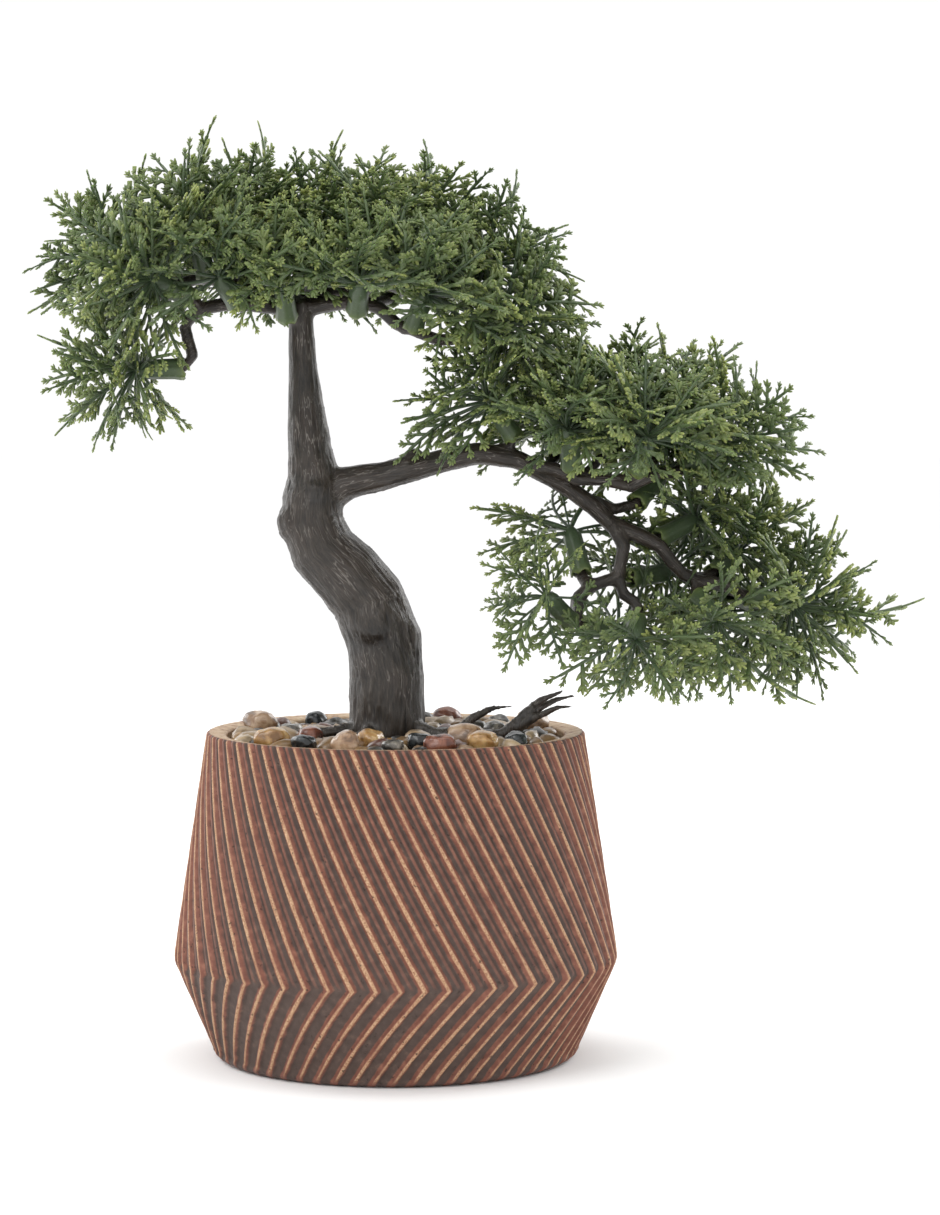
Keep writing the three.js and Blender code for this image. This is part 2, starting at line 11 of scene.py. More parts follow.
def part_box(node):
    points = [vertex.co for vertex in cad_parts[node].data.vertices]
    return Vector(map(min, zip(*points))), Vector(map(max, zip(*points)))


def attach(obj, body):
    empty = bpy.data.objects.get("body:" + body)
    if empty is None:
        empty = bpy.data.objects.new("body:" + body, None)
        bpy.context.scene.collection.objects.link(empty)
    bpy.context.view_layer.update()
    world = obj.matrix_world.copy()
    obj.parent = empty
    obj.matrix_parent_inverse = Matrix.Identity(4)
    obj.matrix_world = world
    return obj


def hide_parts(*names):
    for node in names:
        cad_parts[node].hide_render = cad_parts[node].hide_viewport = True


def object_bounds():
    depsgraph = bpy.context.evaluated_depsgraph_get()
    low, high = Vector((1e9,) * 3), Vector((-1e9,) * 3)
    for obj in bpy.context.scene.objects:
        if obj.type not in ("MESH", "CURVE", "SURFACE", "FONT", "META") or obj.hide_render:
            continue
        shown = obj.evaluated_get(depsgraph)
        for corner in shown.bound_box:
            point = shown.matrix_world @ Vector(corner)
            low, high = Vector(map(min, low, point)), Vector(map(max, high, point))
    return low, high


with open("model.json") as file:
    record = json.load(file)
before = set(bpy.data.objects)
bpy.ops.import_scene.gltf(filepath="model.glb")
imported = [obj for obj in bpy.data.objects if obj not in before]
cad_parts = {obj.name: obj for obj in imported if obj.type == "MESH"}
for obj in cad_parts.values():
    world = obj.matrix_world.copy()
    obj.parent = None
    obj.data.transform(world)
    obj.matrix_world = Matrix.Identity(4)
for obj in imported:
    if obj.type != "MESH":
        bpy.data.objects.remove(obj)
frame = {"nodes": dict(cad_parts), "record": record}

cad_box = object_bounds()


# ------------------------------------------------------------------ studio
# A camera a metre away, a little above the pot's rim, and a white floor under soft boxes.
# None of it is part of the object.

MM = 0.001
CAMERA_AT = (20 * MM, -985 * MM, 188 * MM)
CAMERA_DOWN = 3.884  # degrees below the horizon
LENS = 108.9  # on a sensor 36 mm high
FLOOR_SIZE = 12.0  # metres, so that its edge is lost in the white
WORLD_STRENGTH = 1.02  # a touch over 1, so that the floor comes out white

camera_data = bpy.data.cameras.new("studio_camera")
camera_data.sensor_fit = "VERTICAL"
camera_data.sensor_height = 36
camera_data.lens = LENS
camera = bpy.data.objects.new("studio_camera", camera_data)
camera.location = CAMERA_AT
camera.rotation_euler = (math.radians(90 - CAMERA_DOWN), 0, 0)
bpy.context.scene.collection.objects.link(camera)
bpy.context.scene.camera = camera
bpy.context.scene.view_settings.view_transform = "Standard"


def linear(code):
    """An sRGB hex colour as the linear values that a shader takes."""
    parts = [int(code[i : i + 2], 16) / 255 for i in (1, 3, 5)]
    return (*(c / 12.92 if c <= 0.04045 else ((c + 0.055) / 1.055) ** 2.4 for c in parts), 1)


def feed(tree, made, feeds):
    """Fills a node's inputs by name or number: a socket is linked, a list is linked in turn, and a value is set."""
    for key, value in feeds.items():
        if isinstance(value, (bpy.types.NodeSocket, list)):
            for source in value if isinstance(value, list) else [value]:
                tree.links.new(source, made.inputs[key])
        else:
            is_colour = isinstance(value, str) and value.startswith("#")
            made.inputs[key].default_value = linear(value) if is_colour else value


def node(tree, kind, feeds=None, out=0, stops=None, **settings):
    """Adds a node with its feeds, and gives back one of its outputs.

    Stops are the places and colours of a colour ramp, and settings are the node's own properties."""
    made = tree.nodes.new(kind)
    for name, value in settings.items():
        setattr(made, name, value)
    feed(tree, made, feeds or {})
    for i, (place, colour) in enumerate(stops or []):
        elements = made.color_ramp.elements
        stop = elements[i] if i < len(elements) else elements.new(1)
        stop.position = place
        stop.color = linear(colour)
    return made.outputs[out]


def finish(name, **settings):
    """A material with one Principled shader, as the material, its tree and the shader."""
    material = bpy.data.materials.new(name)
    material.use_nodes = True
    shader = material.node_tree.nodes["Principled BSDF"]
    feed(material.node_tree, shader, {key.replace("_", " "): value for key, value in settings.items()})
    return material, material.node_tree, shader


def soft_box(name, place, size, watts):
    """A square area light that faces the middle of the object."""
    data = bpy.data.lights.new(name, "AREA")
    data.size = size
    data.energy = watts
    light = bpy.data.objects.new(name, data)
    light.location = place
    middle = (cad_box[0] + cad_box[1]) / 2
    light.rotation_euler = (middle - Vector(place)).to_track_quat("-Z", "Y").to_euler()
    bpy.context.scene.collection.objects.link(light)


soft_box("key_box", (-0.6, -0.7, 0.95), 0.7, 4.5)
soft_box("top_box", (0.15, 0.1, 1.2), 0.8, 3.5)
soft_box("rim_box_right", (0.75, 0.7, 0.5), 0.6, 4)
soft_box("rim_box_left", (-0.75, 0.6, 0.4), 0.6, 3)

world = bpy.data.worlds.new("white_studio")
world.use_nodes = True
world.node_tree.nodes["Background"].inputs["Color"].default_value = linear("#ffffff")
world.node_tree.nodes["Background"].inputs["Strength"].default_value = WORLD_STRENGTH
bpy.context.scene.world = world

half = FLOOR_SIZE / 2
floor_mesh = bpy.data.meshes.new("floor")
corners = [(-half, -half, 0), (half, -half, 0), (half, half, 0), (-half, half, 0)]
floor_mesh.from_pydata(corners, [], [(0, 1, 2, 3)])
floor_mesh.materials.append(finish("matt_white_floor", Base_Color="#ffffff", Roughness=0.95)[0])
floor = bpy.data.objects.new("floor", floor_mesh)
bpy.context.scene.collection.objects.link(floor)


# ------------------------------------------------------------------ pot
# A slip-cast stoneware pot with sixty turned ribs, which lean one way down to the shoulder and back below it.
# A reactive glaze runs off the ribs: cream on their rubbed crests, red-brown down their sides, and a dark taupe in
# the grooves that is partly pooled glaze and partly painted shade.

MATH = "ShaderNodeMath"
RANGE = "ShaderNodeMapRange"
NOISE = "ShaderNodeTexNoise"
RAMP = "ShaderNodeValToRGB"
MIX = "ShaderNodeMix"
BUMP = "ShaderNodeBump"
ATTRIBUTE = "ShaderNodeAttribute"
COMBINE = "ShaderNodeCombineXYZ"
SEPARATE = "ShaderNodeSeparateXYZ"
STORED = "GeometryNodeInputNamedAttribute"

RIBS = 60
STEPS_PER_RIB = 14
RIB_HEIGHT = 1.1 * MM
POT_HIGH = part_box("pot")[1]
POT_HEIGHT = POT_HIGH.z
SHOULDER_Z = 27 * MM
FOOT_Z = 3.2 * MM
RIM_RADIUS = 50.8 * MM
SHOULDER_RADIUS = POT_HIGH.x
FOOT_RADIUS = 49.6 * MM
BASE_RADIUS = 46.5 * MM
POT_WALL = 4.4 * MM
POT_FLOOR = 7 * MM
UPPER_TWIST = math.radians(32.3)  # how far a rib turns from the rim down to the shoulder
LOWER_TWIST = math.radians(-21)  # and from there down to the foot
BOTTOM_ROUND = 1.5 * MM  # the flat underside ends this far inside the base's edge
FOOT_RIBS = 0.8  # how far the ribs stand out at the foot, as a share of their full height
LIP_FALL = 0.6 * MM  # how much lower the lip's inner edge is than its outer one
FACETS_ROUND = 6  # steps of the profile round the foot
FACETS_BELOW = 18  # from there up to the shoulder
FACETS_ABOVE = 44  # and from there up to the rim


def pot_radius(z):
    """The outside radius at a height, over the ribs' crests."""
    if z >= SHOULDER_Z:
        return SHOULDER_RADIUS + (RIM_RADIUS - SHOULDER_RADIUS) * (z - SHOULDER_Z) / (POT_HEIGHT - SHOULDER_Z)
    return FOOT_RADIUS + (SHOULDER_RADIUS - FOOT_RADIUS) * (z - FOOT_Z) / (SHOULDER_Z - FOOT_Z)


def pot_profile():
    """From the middle of the base, up the outside, over the lip and down inside to the middle of the floor.

    Each point is a radius, a height, how far the ribs stand out there, and 1 outside or 0 from the lip on."""
    flat = BASE_RADIUS - BOTTOM_ROUND
    points = [(0, 0, 0, 1), (20 * MM, 0, 0, 1), (flat, 0, 0, 1)]
    for k in range(1, FACETS_ROUND + 1):
        share = k / FACETS_ROUND
        a = math.radians(90 * share)
        r = flat + (FOOT_RADIUS - flat) * math.sin(a)
        points.append((r, FOOT_Z * (1 - math.cos(a)), FOOT_RIBS * share**2, 1))
    for k in range(1, FACETS_BELOW + 1):
        z = FOOT_Z + (SHOULDER_Z - FOOT_Z) * k / FACETS_BELOW
        softened = 0.2 * MM if k == FACETS_BELOW else 0  # the shoulder isn't quite sharp
        points.append((pot_radius(z) - softened, z, min(1, FOOT_RIBS + k / 20), 1))
    top = POT_HEIGHT - 0.7 * MM
    for k in range(1, FACETS_ABOVE + 1):
        z = SHOULDER_Z + (top - SHOULDER_Z) * k / FACETS_ABOVE
        points.append((pot_radius(z), z, 1, 1))
    points.append((RIM_RADIUS - 0.2 * MM, POT_HEIGHT - 0.25 * MM, 0.7, 0.7))
    points.append((RIM_RADIUS - 0.8 * MM, POT_HEIGHT, 0.3, 0.2))
    inner = RIM_RADIUS - RIB_HEIGHT - POT_WALL
    inner_top = POT_HEIGHT - LIP_FALL
    points += [(inner + 0.9 * MM, inner_top, 0, 0), (inner + 0.25 * MM, inner_top - 0.35 * MM, 0, 0)]
    for z in (POT_HEIGHT - 1.5 * MM, POT_HEIGHT - 9 * MM, 60 * MM, SHOULDER_Z, POT_FLOOR + 3 * MM):
        points.append((pot_radius(z) - RIB_HEIGHT - POT_WALL, z, 0, 0))
    return points + [(43 * MM, POT_FLOOR, 0, 0), (20 * MM, POT_FLOOR, 0, 0), (0, POT_FLOOR, 0, 0)]


def store(mesh, name, values, kind="FLOAT"):
    """Keeps one number, or one vector, for each point of a mesh under a name."""
    key = "vector" if kind == "FLOAT_VECTOR" else "value"
    mesh.attributes.new(name, kind, "POINT").data.foreach_set(key, np.ravel(values).tolist())


def open_group(name, inputs):
    """A new geometry tree with named inputs, as the tree, its inputs by name and its one output."""
    tree = bpy.data.node_groups.new(name, "GeometryNodeTree")
    tree.interface.new_socket("Geometry", in_out="OUTPUT", socket_type="NodeSocketGeometry")
    tree.interface.new_socket("Geometry", in_out="INPUT", socket_type="NodeSocketGeometry")
    for title, default in inputs.items():
        kind = "NodeSocketInt" if isinstance(default, int) else "NodeSocketFloat"
        tree.interface.new_socket(title, in_out="INPUT", socket_type=kind).default_value = default
    return tree, tree.nodes.new("NodeGroupInput").outputs, tree.nodes.new("NodeGroupOutput").inputs["Geometry"]


def close_group(tree, geometry, material, output):
    """Makes a tree's result real, gives it its material and sends it out."""
    real = node(tree, "GeometryNodeRealizeInstances", {"Geometry": geometry})
    tree.links.new(node(tree, "GeometryNodeSetMaterial", {"Geometry": real, "Material": material}), output)
    return tree


def grown(mesh, tree, settings, name):
    """Runs a geometry tree on a mesh, and gives back the plain mesh that it makes."""
    source = bpy.data.objects.new(name, mesh)
    bpy.context.scene.collection.objects.link(source)
    modifier = source.modifiers.new("grow", "NODES")
    modifier.node_group = tree
    for item in tree.interface.items_tree:
        if item.in_out == "INPUT" and item.name in settings:
            modifier[item.identifier] = settings[item.name]
    evaluated = source.evaluated_get(bpy.context.evaluated_depsgraph_get())
    made = bpy.data.meshes.new_from_object(evaluated)
    made.name = name
    bpy.data.objects.remove(source)
    return made


def ribbed_wall(material):
    """Turns a profile round its axis and raises the twisted ribs on it."""
    t, given, output = open_group("ribbed_wall", {
        "Around": RIBS * STEPS_PER_RIB, "Levels": 60, "Ribs": RIBS, "Rib Height": RIB_HEIGHT,
        "Second Ridge": 0.8, "Crest Start": 0.1, "Crest Full": 0.99})
    columns = node(t, MATH, {0: given["Around"], 1: 1.0})
    grid = node(t, "GeometryNodeMeshGrid",
                {"Vertices X": columns, "Vertices Y": given["Levels"], "Size X": 1.0, "Size Y": 1.0})
    index = node(t, "GeometryNodeInputIndex")
    level = node(t, MATH, {0: index, 1: given["Levels"]}, operation="FLOORED_MODULO")
    column = node(t, MATH, {0: node(t, MATH, {0: index, 1: given["Levels"]}, operation="DIVIDE")}, operation="FLOOR")
    rule = node(t, STORED, {"Name": "rule"}, data_type="FLOAT_VECTOR")
    outside = node(t, "GeometryNodeSampleIndex", {
        "Geometry": given["Geometry"], "Index": level,
        "Value": node(t, STORED, {"Name": "outside"})})
    position = node(t, "GeometryNodeInputPosition")
    place, rules = (
        node(t, SEPARATE, {0: node(
            t, "GeometryNodeSampleIndex", {"Geometry": given["Geometry"], "Value": field, "Index": level},
            data_type="FLOAT_VECTOR")}).node.outputs
        for field in (position, rule))
    radius, height, strength, twist, upper = place[0], place[2], rules[0], rules[1], rules[2]
    share = node(t, MATH, {0: column, 1: given["Around"]}, operation="DIVIDE")
    turn = node(t, MATH, {0: share, 1: math.tau, 2: twist}, operation="MULTIPLY_ADD")
    phase = node(t, MATH, {0: node(t, MATH, {0: share, 1: given["Ribs"]}, operation="MULTIPLY"), 1: math.tau},
                 operation="MULTIPLY")
    wave = node(t, MATH, {0: phase}, operation="COSINE")
    lean = node(t, MATH, {0: phase}, operation="SINE")
    # A rib is the top of the wave, and a low second ridge lies half way to the next on the upper wall.
    crest = node(t, RANGE, {0: wave, 1: given["Crest Start"], 2: given["Crest Full"]},
                 interpolation_type="SMOOTHSTEP")
    between = node(t, RANGE, {0: wave, 1: -0.45, 2: -0.96}, interpolation_type="SMOOTHSTEP")
    second = node(t, MATH, {0: node(t, MATH, {0: between, 1: upper}, operation="MULTIPLY"), 1: given["Second Ridge"],
                            2: crest}, operation="MULTIPLY_ADD")
    sunk = node(t, MATH, {0: node(t, MATH, {0: second, 1: 1.0}, operation="SUBTRACT"), 1: strength},
                operation="MULTIPLY")
    out = node(t, MATH, {0: sunk, 1: given["Rib Height"], 2: radius}, operation="MULTIPLY_ADD")
    flat = node(t, COMBINE, {0: out, 2: height})
    around = node(t, MATH, {0: turn, 1: math.pi / 2}, operation="SUBTRACT")
    turned = node(t, "ShaderNodeVectorRotate", {"Vector": flat, "Angle": around}, rotation_type="Z_AXIS")
    shaped = grid
    kept = {"wave": wave, "lean": lean, "ribbing": strength, "upper": upper, "outside": outside}
    for name, value in kept.items():
        shaped = node(t, "GeometryNodeStoreNamedAttribute", {"Geometry": shaped, "Name": name, "Value": value})
    moved = node(t, "GeometryNodeSetPosition", {"Geometry": shaped, "Position": turned})
    closed = node(t, "GeometryNodeMergeByDistance", {"Geometry": moved, "Distance": 0.004 * MM})
    return close_group(t, closed, material, output)


def reactive_glaze():
    """Matt reactive glaze over stoneware. It breaks to cream where a crest was worn, iron red beside it, and
    a dark taupe in the grooves, partly where it pools and partly painted shade, with pinholes and mottling about 2 mm
    across."""
    material, t, shader = finish("reactive_glazed_stoneware", Roughness=0.6, IOR=1.52, Specular_IOR_Level=0.3)
    wave, lean, ribbing, upper, outside = (
        node(t, ATTRIBUTE, attribute_name=name, out=2)
        for name in ("wave", "lean", "ribbing", "upper", "outside"))
    place = node(t, "ShaderNodeTexCoord", out=3)
    height = node(t, SEPARATE, {0: place}, out=2)
    broad = node(t, NOISE, {"Vector": place, "Scale": 1 / (9 * MM), "Detail": 2.0})
    mottle = node(t, NOISE, {"Vector": place, "Scale": 1 / (2.2 * MM), "Detail": 4.0})
    fine = node(t, NOISE, {"Vector": place, "Scale": 1 / (0.5 * MM), "Detail": 3.0, "Roughness": 0.65})
    pinhole = node(t, NOISE, {"Vector": place, "Scale": 1 / (1.2 * MM), "Detail": 2.0})

    # Where the red ends: it wanders with the mottling, and below the shoulder it runs down one side of a rib.
    lower = node(t, RANGE, {0: height, 1: SHOULDER_Z + 1 * MM, 2: SHOULDER_Z - 1 * MM})
    one_side = node(t, MATH, {0: node(t, MATH, {0: lean, 1: lower}, operation="MULTIPLY"), 1: -0.5, 2: wave},
                    operation="MULTIPLY_ADD")
    wander = node(t, MATH, {0: mottle, 1: 0.7, 2: one_side}, operation="MULTIPLY_ADD")
    beside = node(t, RANGE, {0: wander, 1: 0.2, 2: 0.85}, interpolation_type="SMOOTHSTEP")
    groove_red = node(t, RANGE, {0: wave, 1: -0.8, 2: -0.97}, interpolation_type="SMOOTHSTEP")
    groove_red = node(t, MATH, {0: groove_red, 1: upper}, operation="MULTIPLY")
    groove_red = node(t, MATH, {0: groove_red, 1: node(t, RANGE, {0: broad, 1: 0.25, 2: 0.5, 3: 0.7})},
                      operation="MULTIPLY")
    red_share = node(t, MATH, {0: beside, 1: groove_red}, operation="MAXIMUM")
    # The taupe for the grooves is partly the pooled glaze's own colour and partly painted shade.
    taupe = node(t, RAMP, {0: mottle}, stops=[(0.3, "#493b35"), (0.6, "#54453e"), (0.75, "#655248")])
    red = node(t, RAMP, {0: mottle}, stops=[(0.3, "#6d4336"), (0.55, "#7f5041"), (0.75, "#936351")])
    cream = node(t, RAMP, {0: fine}, stops=[(0.35, "#c7a585"), (0.5, "#b08a6b"), (0.68, "#8c5f4a")])
    colour = node(t, MIX, {0: red_share, 6: taupe, 7: red}, 2, data_type="RGBA")
    # Where the crest is rubbed through, which is patchy.
    worn = node(t, MATH, {0: fine, 1: 0.5, 2: wave}, operation="MULTIPLY_ADD")
    worn = node(t, MATH, {0: broad, 1: 0.5, 2: worn}, operation="MULTIPLY_ADD")
    wear_and_painted_highlight = node(t, RANGE, {0: worn, 1: 1.27, 2: 1.44}, interpolation_type="SMOOTHSTEP")
    wear_and_painted_highlight = node(t, MATH, {0: wear_and_painted_highlight, 1: node(t, RANGE, {0: ribbing, 1: 0.2, 2: 0.7})},
                  operation="MULTIPLY")
    colour = node(t, MIX, {0: wear_and_painted_highlight, 6: colour, 7: cream}, 2, data_type="RGBA")
    # The lip is wiped to cream, the underside is bare clay, and pinholes are dark.
    bare = node(t, RANGE, {0: outside, 1: 0.5, 2: 0.2})
    lip = node(t, RAMP, {0: mottle}, stops=[(0.3, "#c9b396"), (0.55, "#b49678"), (0.7, "#8a6350")])
    colour = node(t, MIX, {0: bare, 6: colour, 7: lip}, 2, data_type="RGBA")
    hole = node(t, RANGE, {0: pinhole, 1: 0.67, 2: 0.72, 4: 0.75})
    colour = node(t, MIX, {0: hole, 6: colour, 7: "#3b2f29"}, 2, data_type="RGBA")
    relief = node(t, MATH, {0: hole, 1: -1.5, 2: fine}, operation="MULTIPLY_ADD")
    relief = node(t, MATH, {0: relief, 1: mottle}, operation="ADD")
    feed(t, shader, {"Base Color": colour, "Roughness": node(t, RANGE, {0: wear_and_painted_highlight, 3: 0.55, 4: 0.8}),
                     "Normal": node(t, BUMP, {"Height": relief, "Strength": 0.8, "Distance": 0.12 * MM})})
    return material


def sealed(mesh):
    """Merges what touches and turns every face of a closed mesh outwards."""
    working = bmesh.new()
    working.from_mesh(mesh)
    bmesh.ops.remove_doubles(working, verts=working.verts, dist=0.002 * MM)
    bmesh.ops.dissolve_degenerate(working, edges=working.edges, dist=0.001 * MM)
    bmesh.ops.recalc_face_normals(working, faces=working.faces)
    working.to_mesh(mesh)
    working.free()
    return mesh


def piece(name, mesh, slot, *replaced):
    """Shows a finished mesh as a piece that stands for CAD nodes. Its slot is not used."""
    mesh.shade_smooth()
    made = bpy.data.objects.new(name, mesh)
    bpy.context.scene.collection.objects.link(made)
    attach(made, "root")
    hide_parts(*replaced)
    return made


profile = pot_profile()
profile_mesh = bpy.data.meshes.new("pot_profile")
profile_mesh.from_pydata([(r, 0, z) for r, z, _, _ in profile], [(i, i + 1) for i in range(len(profile) - 1)], [])
rules = []
for r, z, strength, outside in profile:
    down = max(0, min(1, (POT_HEIGHT - z) / (POT_HEIGHT - SHOULDER_Z)))
    below = max(0, (SHOULDER_Z - z) / SHOULDER_Z)
    second_ridge = (1 - 0.55 * down) * (z > SHOULDER_Z + 0.5 * MM) * strength
    rules += [strength * outside, UPPER_TWIST * down + LOWER_TWIST * below, second_ridge]
store(profile_mesh, "outside", [p[3] for p in profile])
store(profile_mesh, "rule", rules, "FLOAT_VECTOR")
pot_mesh = grown(profile_mesh, ribbed_wall(reactive_glaze()), {"Levels": len(profile)}, "pot_wall")
piece("ribbed_pot", sealed(pot_mesh), "ribbed_ceramic", "pot")


# ------------------------------------------------------------------ filler block
# The block of pressed pulp that fills the hidden part of the pot and grips the trunk's peg.
# Its CAD solid stays, with a rough fibrous finish.

pulp, t, shader = finish("pressed_pulp", Roughness=0.95)
fibres = node(t, NOISE, {"Vector": node(t, "ShaderNodeTexCoord", out=3), "Scale": 1 / (1.2 * MM),
                                        "Detail": 5.0, "Roughness": 0.7})
feed(t, shader, {"Base Color": node(t, RAMP, {0: fibres}, stops=[(0.3, "#4c4a3a"), (0.7, "#6d6a55")]),
                 "Normal": node(t, BUMP, {"Height": fibres, "Distance": 0.4 * MM})})
frame["nodes"]["filler_block"].material_slots[0].material = pulp


# ------------------------------------------------------------------ gravel
# Tumbled and polished pebbles, 5 to 9 mm long, of quartz, jasper and basalt, poured in round the trunk.
# The lower ones are one packed bed, and those that lie on top are pieces of their own.

BED_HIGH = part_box("gravel_bed")[1]
GRAVEL_TOP = BED_HIGH.z
PEBBLE = 6.4 * MM
PEBBLE_SPACING = 0.84 * PEBBLE  # less than a pebble, because they settle into each other's gaps
BED_LAYERS = (-0.5, 0.12)  # how high each layer's middles lie over the bed's top, in pebbles
PEBBLE_KINDS = 4
TRUNK_FOOT = Vector((-2.4 * MM, 0))
TRUNK_FOOT_RADIUS = 10.6 * MM
TREE_BASE = GRAVEL_TOP - 3 * MM  # the level that the heights of the trunk and limbs are measured from


def pebble_mesh(seed, cuts, shape):
    """One pebble about 1 unit long: a rounded block pulled lopsided and worn smooth."""
    working = bmesh.new()
    bmesh.ops.create_cube(working, size=1)
    bmesh.ops.subdivide_edges(working, edges=working.edges, cuts=cuts, use_grid_fill=True)
    offset = Vector((seed * 7.3, seed * 3.1, seed * 5.7))
    for vertex in working.verts:
        way = vertex.co.normalized()
        swell = 0.5 + 0.11 * noise.noise(way * 1.1 + offset) + 0.035 * noise.noise(way * 2.6 + offset)
        boxy = way.lerp(vertex.co / max(abs(c) for c in vertex.co) * 0.8, 0.18)
        vertex.co = Vector(a * b * swell for a, b in zip(boxy, shape))
    mesh = bpy.data.meshes.new(f"pebble_{seed}")
    working.to_mesh(mesh)
    working.free()
    return mesh


def polished_stone(name, stops, band_mm, glow=0.0):
    """Tumbled stone. A hard polish gives a sharp highlight over banded and speckled mineral colour."""
    material, t, shader = finish(name, Roughness=0.24, IOR=1.54, Coat_Weight=0.15, Coat_Roughness=0.1,
                                 Subsurface_Weight=glow, Subsurface_Radius=(2.5 * MM, 1.5 * MM, 0.7 * MM),
                                 Subsurface_Scale=1.0)
    place = node(t, "ShaderNodeTexCoord", out=3)
    bands = node(t, NOISE, {"Vector": place, "Scale": 1 / (band_mm * MM), "Detail": 4.0,
                                           "Distortion": 0.8})
    specks = node(t, NOISE, {"Vector": place, "Scale": 1 / (0.6 * MM), "Detail": 3.0})
    colour = node(t, RAMP, {0: bands}, stops=stops)
    dark = node(t, RANGE, {0: specks, 1: 0.6, 2: 0.72, 4: 0.4})
    feed(t, shader, {"Base Color": node(t, MIX, {0: dark, 6: colour, 7: stops[0][1]}, 2, data_type="RGBA"),
                     "Normal": node(t, BUMP, {"Height": specks, "Strength": 0.4, "Distance": 0.05 * MM})})
    return material


# Each kind's dark, middle and pale colour with its place in the bands, how wide the bands are in mm, and its glow.
STONES = {
    "ochre_stone": polished_stone(
        "polished_ochre_quartz", [(0.35, "#7a5832"), (0.5, "#a98453"), (0.68, "#cfb07c")], 5, 0.3),
    "black_stone": polished_stone(
        "polished_basalt", [(0.35, "#121415"), (0.55, "#24282a"), (0.7, "#474d50")], 4),
    "tan_stone": polished_stone(
        "polished_tan_jasper", [(0.35, "#6b5442"), (0.5, "#97795e"), (0.68, "#bda388")], 4),
    "grey_stone": polished_stone(
        "polished_grey_gneiss", [(0.35, "#3b3936"), (0.5, "#625e57"), (0.68, "#8e877c")], 2.5),
    "russet_stone": polished_stone(
        "polished_red_jasper", [(0.35, "#3f241d"), (0.5, "#6e4031"), (0.68, "#94614b")], 4),
}


def mixed_gravel():
    """The bed's pebbles, polished like the larger ones. Each takes its colour by its own random number."""
    material, t, shader = finish("mixed_polished_gravel", Roughness=0.3, IOR=1.54, Coat_Weight=0.15,
                                 Coat_Roughness=0.12)
    pick = node(t, ATTRIBUTE, attribute_name="pick", out=2)
    shades = ["#a17d4c", "#2a2b2c", "#8c7257", "#1f2122", "#b8a282", "#5d382c", "#836642", "#3e3c38", "#a18a6c"]
    base = node(t, RAMP, {0: pick}, stops=[(i / len(shades), s) for i, s in enumerate(shades)])
    base.node.color_ramp.interpolation = "CONSTANT"
    bands = node(t, NOISE, {"Vector": node(t, "ShaderNodeTexCoord", out=3), "Scale": 1 / (2 * MM),
                                           "Detail": 4.0})
    share = node(t, RANGE, {0: bands, 1: 0.4, 2: 0.68, 4: 0.45})
    feed(t, shader, {"Base Color": node(t, MIX, {0: share, 6: base, 7: "#4a4037"}, 2, data_type="RGBA"),
                     "Normal": node(t, BUMP, {"Height": bands, "Strength": 0.4, "Distance": 0.08 * MM})})
    return material


def poured(material, pebbles):
    """Puts one of the pebbles on each point, turned at random, and gives each a number to be coloured by."""
    t, given, output = open_group("poured_gravel", {
        "Pebble Length": PEBBLE, "Smallest": 0.65, "Largest": 1.3, "Seed": 11})
    points = node(t, "GeometryNodeMeshToPoints", {"Mesh": given["Geometry"]})
    turn = node(t, "FunctionNodeRandomValue", {0: (-0.4, -0.4, 0.0), 1: (0.4, 0.4, math.tau), "Seed": given["Seed"]},
                data_type="FLOAT_VECTOR")
    size = node(t, "FunctionNodeRandomValue", {2: given["Smallest"], 3: given["Largest"], "Seed": given["Seed"]}, 1)
    scale = node(t, MATH, {0: size, 1: given["Pebble Length"]}, operation="MULTIPLY")
    kinds = node(t, "GeometryNodeGeometryToInstance", {0: [
        node(t, "GeometryNodeObjectInfo", {"Object": source}).node.outputs["Geometry"] for source in pebbles]})
    placed = node(t, "GeometryNodeInstanceOnPoints", {"Points": points, "Instance": kinds, "Pick Instance": True,
                                                      "Rotation": turn, "Scale": scale})
    pick = node(t, "FunctionNodeRandomValue", {"Seed": given["Seed"]}, 1)
    kept = node(t, "GeometryNodeStoreNamedAttribute", {"Geometry": placed, "Name": "pick", "Value": pick},
                domain="INSTANCE")
    return close_group(t, kept, material, output)


def bed_points():
    """Places for the bed's pebbles, in two layers that break joint, clear of the trunk and of the stones on top."""
    draw = np.random.default_rng(5)
    reach = BED_HIGH.x - 0.5 * PEBBLE
    spacing = PEBBLE_SPACING
    stones = [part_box(n) for n in frame["nodes"] if n.startswith("stone_")]
    stones = [((low + high) / 2, (high - low).length * 0.28) for low, high in stones]
    places = []
    for layer, rise in enumerate(BED_LAYERS):
        for row in range(int(2 * reach / (spacing * 0.87)) + 2):
            for k in range(int(2 * reach / spacing) + 2):
                jitter = draw.uniform(-0.25, 0.25, 3) * spacing
                x = -reach + (k + 0.5 * (row % 2) + 0.4 * layer) * spacing + jitter[0]
                y = -reach + row * spacing * 0.87 + jitter[1]
                flat = Vector((x, y))
                if flat.length > reach or (flat - TRUNK_FOOT).length < TRUNK_FOOT_RADIUS + 0.1 * PEBBLE:
                    continue
                if layer and min((c.xy - flat).length - r for c, r in stones) < 0.3 * PEBBLE:
                    continue
                places.append((x, y, GRAVEL_TOP + rise * PEBBLE + 0.5 * jitter[2]))
    return places


pebbles = [bpy.data.objects.new(f"pebble_{k}", pebble_mesh(k, 2, (1.15, 0.95 - 0.06 * k, 0.72 + 0.05 * k)))
           for k in range(PEBBLE_KINDS)]
for source in pebbles:
    source.data.shade_smooth()
points_mesh = bpy.data.meshes.new("bed_points")
points_mesh.from_pydata(bed_points(), [], [])
piece("poured_gravel", grown(points_mesh, poured(mixed_gravel(), pebbles), {"Seed": 11}, "gravel"), "gravel",
      "gravel_bed")

